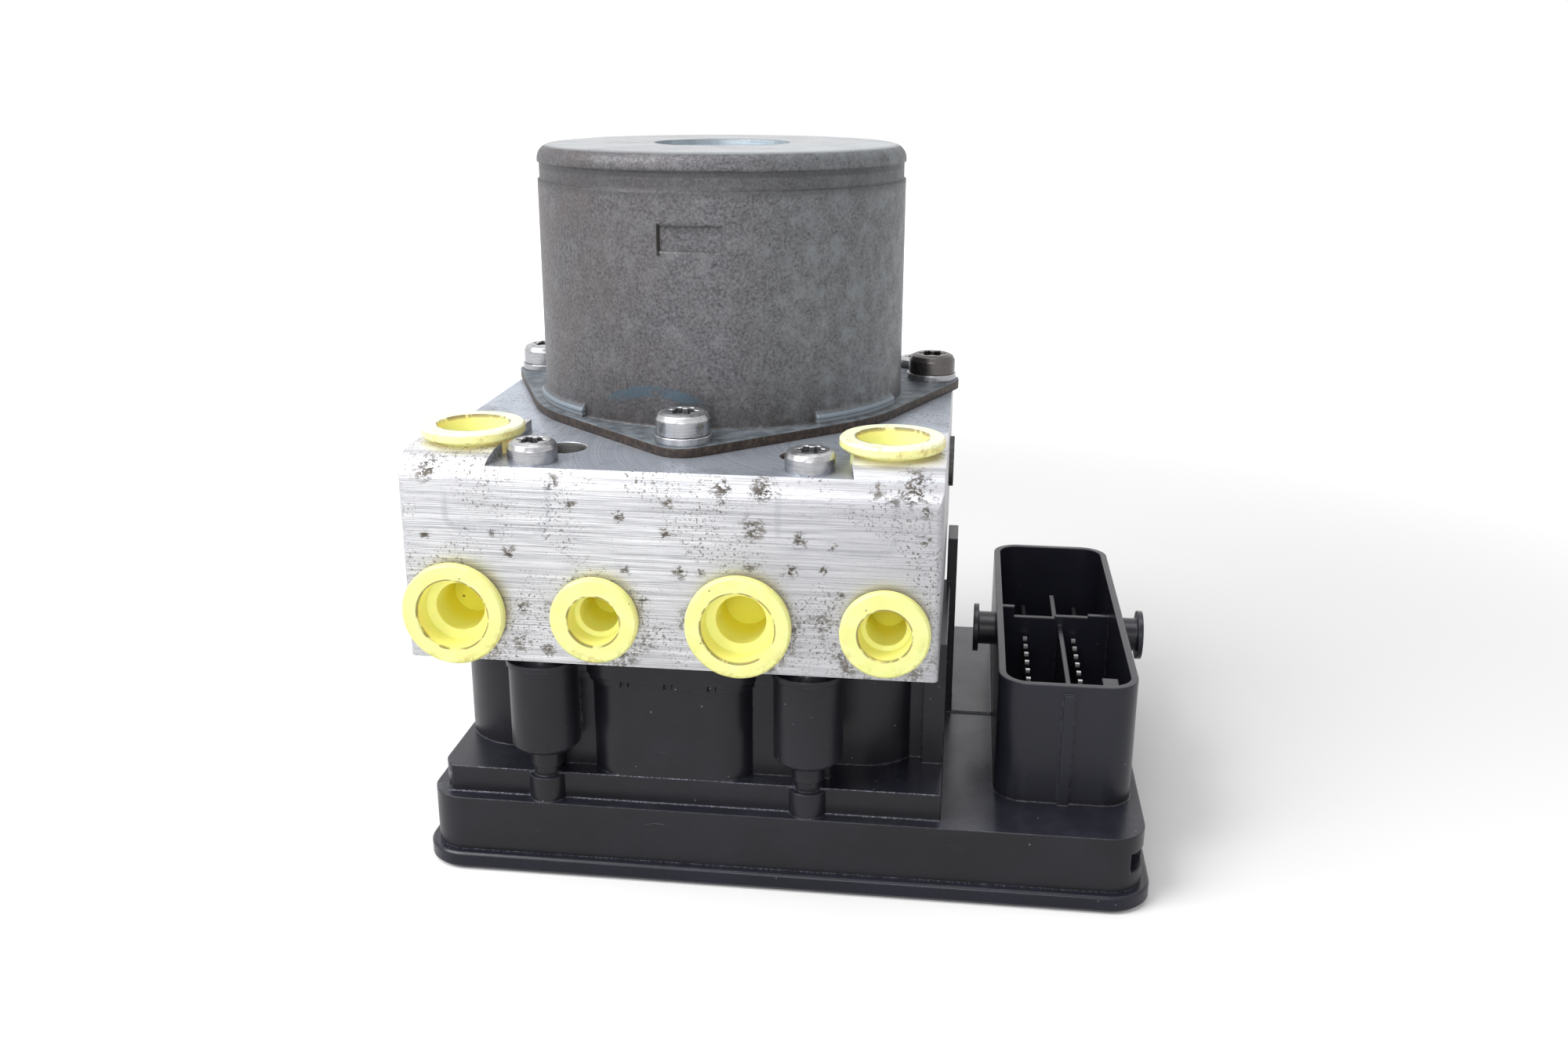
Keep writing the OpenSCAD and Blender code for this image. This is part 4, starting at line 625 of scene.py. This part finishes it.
def scuffed_corners(g):
    """Rubbed patches on the left corners of the tray and of its step."""
    zones = []
    for x, y, z, size in SCUFFS:
        away = g.math("ADD", g.radius(g.x, g.y, x, y), g.math("ABSOLUTE", g.math("SUBTRACT", g.z, z)))
        zones.append(g.rise(away, size, 0.4 * size))
    return g.times(g.either(*zones), g.patches(0.9, 0.45, 0.62))


def paint_housing_wear(g, up):
    """Painted bluish reflection on the strip between block and connector, the scuffed corners and the dust
    lines.
    """
    strip = g.times(up, g.band(g.x, *STRIP_X, 0.6), g.band(g.z, TRAY_TOP - 0.5, TRAY_TOP + 0.5, 0.3))
    cloudy = g.patches(0.11, 0.32, 0.6, 5.0, 0.65, 0.35, 1.0)
    # painted bluish reflection on the strip, stronger towards the back
    g.paint(g.times(strip, g.rise(g.y, *STRIP_Y, 0.25, 1.0), cloudy, 0.6), STRIP_REFLECTION)
    g.paint(g.times(scuffed_corners(g), 0.65), SCUFFED)
    g.paint(g.times(dust_lines(g), 0.75), DUST_LINE)


def moulded_plastic(name, dark, light, dust=0.6, gloss=0.3, housing=False):
    """Black moulded plastic with painted bluish reflection on upward faces and the shroud, and pale edges of
    wear and painted highlight: dust scales its dust, gloss is its roughness, and housing adds its wear and
    the strip's painted reflection.
    """
    g = Graph(name)
    cloud = g.noise(0.06, 4.0, 0.6)
    g.colour = g.mix(g.rise(cloud, 0.35, 0.7), dark, light)
    up = g.rise(g.facing(2), 0.5, 0.95)
    shroud = g.rise(g.x, SHROUD_LEFT - 1.0, SHROUD_LEFT + 1.0)
    shroud = g.times(shroud, g.rise(g.z, TRAY_TOP + 0.5, TRAY_TOP + 2.0), 0.7)
    # painted bluish reflection on the upward faces and on the shroud
    g.paint(g.either(g.times(up, 0.8), shroud), PLASTIC_BLUE_REFLECTION)
    g.paint(g.times(up, g.patches(0.14, 0.42, 0.8, 6.0, 0.7), 0.18 * dust), DUST_FILM)
    # pale edges, partly wear and partly painted highlight
    g.paint(g.times(g.edges(0.45), g.patches(0.8, 0.42, 0.62), 0.3), EDGE_WEAR_AND_HIGHLIGHT)
    g.paint(g.times(g.creases(1.0, 0.75, 0.45), g.patches(0.9, 0.48, 0.62), 0.55 * dust), SETTLED_DUST)
    if housing:
        paint_housing_wear(g, up)
    specks = g.times(g.dots(0.6, 0.1, 0.05), 0.8 * dust)
    scratches = g.noise(1.0, 3.0, 0.5, g.stretch(g.place, (0.12, 1.9, 2.3)))
    scratches = g.rise(scratches, 0.73, 0.78, 0.0, 0.2 * dust)
    g.paint(g.either(specks, scratches), WHITE_SPECK)
    g.bump(g.noise(4.5, 3.0, 0.6), 0.02, 0.6)
    g.feed(g.bsdf.inputs["Specular IOR Level"], g.rise(up, 0.0, 1.0, 0.28, 0.55))
    rough = g.rise(cloud, 0.35, 0.7, gloss, gloss + 0.08)
    return g.finish(g.math("SUBTRACT", rough, g.times(up, 0.06)))


def wound_copper():
    """Lacquered wire in close turns."""
    g = Graph("wound_copper")
    turns = g.noise(1.0, 2.0, 0.4, g.stretch(g.place, (0.6, 0.6, 3.5)))
    g.colour = g.mix(g.rise(turns, 0.3, 0.7), rgb(122, 66, 34), rgb(206, 128, 82))
    g.bump(turns, 0.2, 0.8)
    return g.finish(g.rise(turns, 0.3, 0.7, 0.5, 0.3), metallic=0.9)


def contact_pin():
    """Tinned contact, bright at its tip and painted near black below as shade."""
    g = Graph("tinned_pin")
    grain = g.noise(2.0, 4.0, 0.6)
    # painted shade: near black below the tip
    g.colour = g.mix(g.rise(g.z, PIN_TOP - 0.9, PIN_TOP - 0.3), rgb(22, 22, 24), rgb(236, 237, 240))
    g.paint(g.rise(grain, 0.35, 0.75, 0.0, 0.4), rgb(96, 96, 100))
    g.bump(grain, 0.01, 0.5)
    return g.finish(g.rise(grain, 0.3, 0.7, 0.25, 0.4), metallic=0.6)


def mottled(name, dark, light, scale, roughness, metallic=0.0, depth_mm=0.05):
    """A plain material with cloudy colour, uneven gloss and a fine grain."""
    g = Graph(name)
    grain = g.noise(scale, 5.0, 0.65)
    g.colour = g.mix(g.rise(grain, 0.3, 0.7), rgb(*dark), rgb(*light))
    g.bump(grain, depth_mm, 0.6)
    return g.finish(g.rise(grain, 0.3, 0.7, roughness - 0.06, roughness + 0.08), metallic)


# Plain materials: dark and light colour, scale of the grain, roughness, metallic and depth of the grain
PLAIN = {
    "seal_rubber": ((20, 20, 21), (34, 34, 35), 1.2, 0.7),
    "plate_plastic": ((44, 44, 46), (58, 58, 60), 0.8, 0.55),
    "ferrite": ((52, 52, 55), (74, 74, 78), 1.4, 0.6, 0.2),
    "laminated_steel": ((96, 97, 100), (140, 141, 144), 2.2, 0.4, 0.9),
    "commutator_copper": ((166, 98, 62), (204, 132, 90), 1.6, 0.35, 0.95),
    "carbon": ((34, 34, 36), (52, 52, 55), 1.5, 0.6),
    "contact_brass": ((170, 146, 84), (206, 182, 118), 1.8, 0.32, 0.95),
    "board_laminate": ((22, 74, 44), (32, 96, 58), 0.5, 0.4, 0.0, 0.02),
    "chip_resin": ((32, 32, 33), (44, 44, 46), 2.4, 0.5, 0.0, 0.02),
    # power blades painted near black, as shade deep in the connector
    "shaded_blade": ((16, 16, 19), (26, 26, 30), 1.5, 0.5, 0.3, 0.01),
    "dull_steel": ((70, 68, 66), (104, 102, 100), 1.2, 0.5, 0.6),
}

# Nodes that wear each plain material
PLAIN_NODES = {
    "housing_seal": "seal_rubber",
    "motor_end_plate": "plate_plastic",
    "motor_magnets": "ferrite",
    "rotor_core": "laminated_steel",
    "commutator": "commutator_copper",
    "brushes": "carbon",
    "motor_contacts": "contact_brass",
    "coil_terminals": "contact_brass",
    "circuit_board": "board_laminate",
    "board_chips": "chip_resin",
    "power_blades": "shaded_blade",
    "channel_plugs": "dull_steel",
    "pump_plug_left": "dull_steel",
    "pump_plug_right": "dull_steel",
}


def plug_materials():
    """A plastic for each plug, since its dirt lies in rings round its own middle."""
    table = {}
    for i, place in enumerate(FRONT_PORTS):
        name = f"front_plug_{i + 1}"
        mouth = SMALL_MOUTH if i % 2 else LARGE_MOUTH
        table[name] = plug_plastic(f"{name}_plastic", "y", (place * PORT_PITCH, PORT_Z), mouth)
    for name, sign in (("top_plug_left", -1), ("top_plug_right", 1)):
        table[name] = plug_plastic(f"{name}_plastic", "z", (sign * TOP_PORT[0], TOP_PORT[1]), LARGE_MOUTH)
    return table


def make_materials():
    """The material of each node; nodes without one of their own are ground steel."""
    table = {
        "valve_block": milled_aluminium(),
        "motor_can": zinc_can(),
        "motor_screws": turned_steel(
            "zinc_screw", rgb(206, 207, 208), rgb(170, 171, 174), worn_screw, FLANGE_TOP + WASHER_T
        ),
        "housing_screws": turned_steel("zinc_torx", rgb(204, 204, 206), rgb(168, 168, 171)),
        "ecu_housing": moulded_plastic("housing_plastic", rgb(24, 24, 29), rgb(30, 29, 36), housing=True),
        "ecu_cover": moulded_plastic("cover_plastic", rgb(16, 16, 29), rgb(21, 21, 36), 0.35, 0.24),
        "rotor_windings": wound_copper(),
        "inlet_coils": wound_copper(),
        "connector_pins": contact_pin(),
    }
    table["outlet_coils"] = table["inlet_coils"]
    table["motor_washers"] = table["housing_screws"]
    plain = {name: mottled(name, *values) for name, values in PLAIN.items()}
    table.update((node, plain[name]) for node, name in PLAIN_NODES.items())
    table.update(plug_materials())
    steel = turned_steel("ground_steel", rgb(196, 197, 200), rgb(150, 151, 154))
    return {**dict.fromkeys(NODES, steel), **table}


def dress_nodes():
    for name, material in make_materials().items():
        mesh = NODES[name].data
        mesh.materials.clear()
        mesh.materials.append(material)


def add_live_springs():
    """Puts a copy in each spring's place, attached to the module, and hides the spring's CAD node."""
    for node, (joint, axis, fixed_mm, stroke_mm) in SPRINGS.items():
        coil = bpy.data.objects.new(node + "_coil", NODES[node].data.copy())
        bpy.context.scene.collection.objects.link(coil)
        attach(coil, "module")
        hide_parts(node)
        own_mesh(coil)


def add_camera():
    flat = math.cos(PITCH)
    ahead = Vector((-math.sin(YAW) * flat, math.cos(YAW) * flat, -math.sin(PITCH)))
    level = Vector((math.cos(YAW), math.sin(YAW), 0))
    upright = level.cross(ahead)
    right = math.cos(ROLL) * level + math.sin(ROLL) * upright
    up = math.cos(ROLL) * upright - math.sin(ROLL) * level
    data = bpy.data.cameras.new("camera")
    data.sensor_width = SENSOR_MM
    data.lens = FOCAL_PX * SENSOR_MM / IMAGE_W
    data.clip_start = 0.01
    camera = bpy.data.objects.new("camera", data)
    turn = Matrix((right, up, -ahead)).transposed().to_4x4()
    camera.matrix_world = Matrix.Translation(EYE) @ turn
    bpy.context.scene.collection.objects.link(camera)
    bpy.context.scene.camera = camera


def add_lamp(name, place, size, watts):
    data = bpy.data.lights.new(name, "AREA")
    data.shape = "DISK"
    data.size = size
    data.energy = watts
    lamp = bpy.data.objects.new(name, data)
    lamp.location = place
    ahead = Vector(LAMP_TARGET) - Vector(place)
    lamp.rotation_euler = ahead.to_track_quat("-Z", "Y").to_euler()
    bpy.context.scene.collection.objects.link(lamp)


def seen_ray(tree):
    """1 for rays that see the backdrop: from the camera, in a gloss or through glass."""
    path = tree.nodes.new("ShaderNodeLightPath")
    total = path.outputs["Is Camera Ray"]
    for name in ("Is Glossy Ray", "Is Transmission Ray"):
        node = tree.nodes.new("ShaderNodeMath")
        node.operation = "MAXIMUM"
        tree.links.new(total, node.inputs[0])
        tree.links.new(path.outputs[name], node.inputs[1])
        total = node.outputs[0]
    return total


def mix_by_ray(tree, unseen, seen, out):
    """Shows the shader seen to rays that see the backdrop, and the shader unseen to the rest."""
    mix = tree.nodes.new("ShaderNodeMixShader")
    tree.links.new(seen_ray(tree), mix.inputs[0])
    tree.links.new(unseen, mix.inputs[1])
    tree.links.new(seen, mix.inputs[2])
    tree.links.new(mix.outputs[0], out.inputs[0])


def background(tree, strength):
    node = tree.nodes.new("ShaderNodeBackground")
    node.inputs[0].default_value = WHITE
    node.inputs[1].default_value = strength
    return node.outputs[0]


def add_world():
    """Soft light from all round, and a white backdrop."""
    world = bpy.data.worlds.new("studio")
    bpy.context.scene.world = world
    world.use_nodes = True
    tree = world.node_tree
    tree.nodes.clear()
    out = tree.nodes.new("ShaderNodeOutputWorld")
    mix_by_ray(tree, background(tree, WORLD_LIGHT), background(tree, 1.0), out)


def floor_glow(tree):
    """Own light of the floor, low round the object for its shadow, and white further out."""
    away = tree.nodes.new("ShaderNodeVectorMath")
    away.operation = "LENGTH"
    tree.links.new(tree.nodes.new("ShaderNodeTexCoord").outputs["Object"], away.inputs[0])
    grow = tree.nodes.new("ShaderNodeMapRange")
    grow.interpolation_type = "SMOOTHSTEP"
    tree.links.new(away.outputs["Value"], grow.inputs["Value"])
    for name, value in FLOOR_GLOW.items():
        grow.inputs[name].default_value = value
    glow = tree.nodes.new("ShaderNodeEmission")
    tree.links.new(grow.outputs["Result"], glow.inputs["Strength"])
    return glow.outputs[0]


def floor_material():
    material = bpy.data.materials.new("pale_floor")
    material.use_nodes = True
    tree = material.node_tree
    tree.nodes.clear()
    out = tree.nodes.new("ShaderNodeOutputMaterial")
    diffuse = tree.nodes.new("ShaderNodeBsdfDiffuse")
    diffuse.inputs[0].default_value = FLOOR_COLOUR
    both = tree.nodes.new("ShaderNodeAddShader")
    tree.links.new(diffuse.outputs[0], both.inputs[0])
    tree.links.new(floor_glow(tree), both.inputs[1])
    mix_by_ray(tree, diffuse.outputs[0], both.outputs[0], out)
    return material


def add_floor():
    corners = [(x * FLOOR_HALF, y * FLOOR_HALF, 0) for x, y in ((-1, -1), (1, -1), (1, 1), (-1, 1))]
    mesh = bpy.data.meshes.new("floor")
    mesh.from_pydata(corners, [], [(0, 1, 2, 3)])
    mesh.materials.append(floor_material())
    floor = bpy.data.objects.new("floor", mesh)
    bpy.context.scene.collection.objects.link(floor)


def add_studio():
    bpy.context.scene.view_settings.view_transform = "Standard"
    add_world()
    add_floor()
    for name, (place, size, watts) in LAMPS.items():
        add_lamp(name, place, size, watts)


add_camera()
add_studio()
dress_nodes()
add_live_springs()
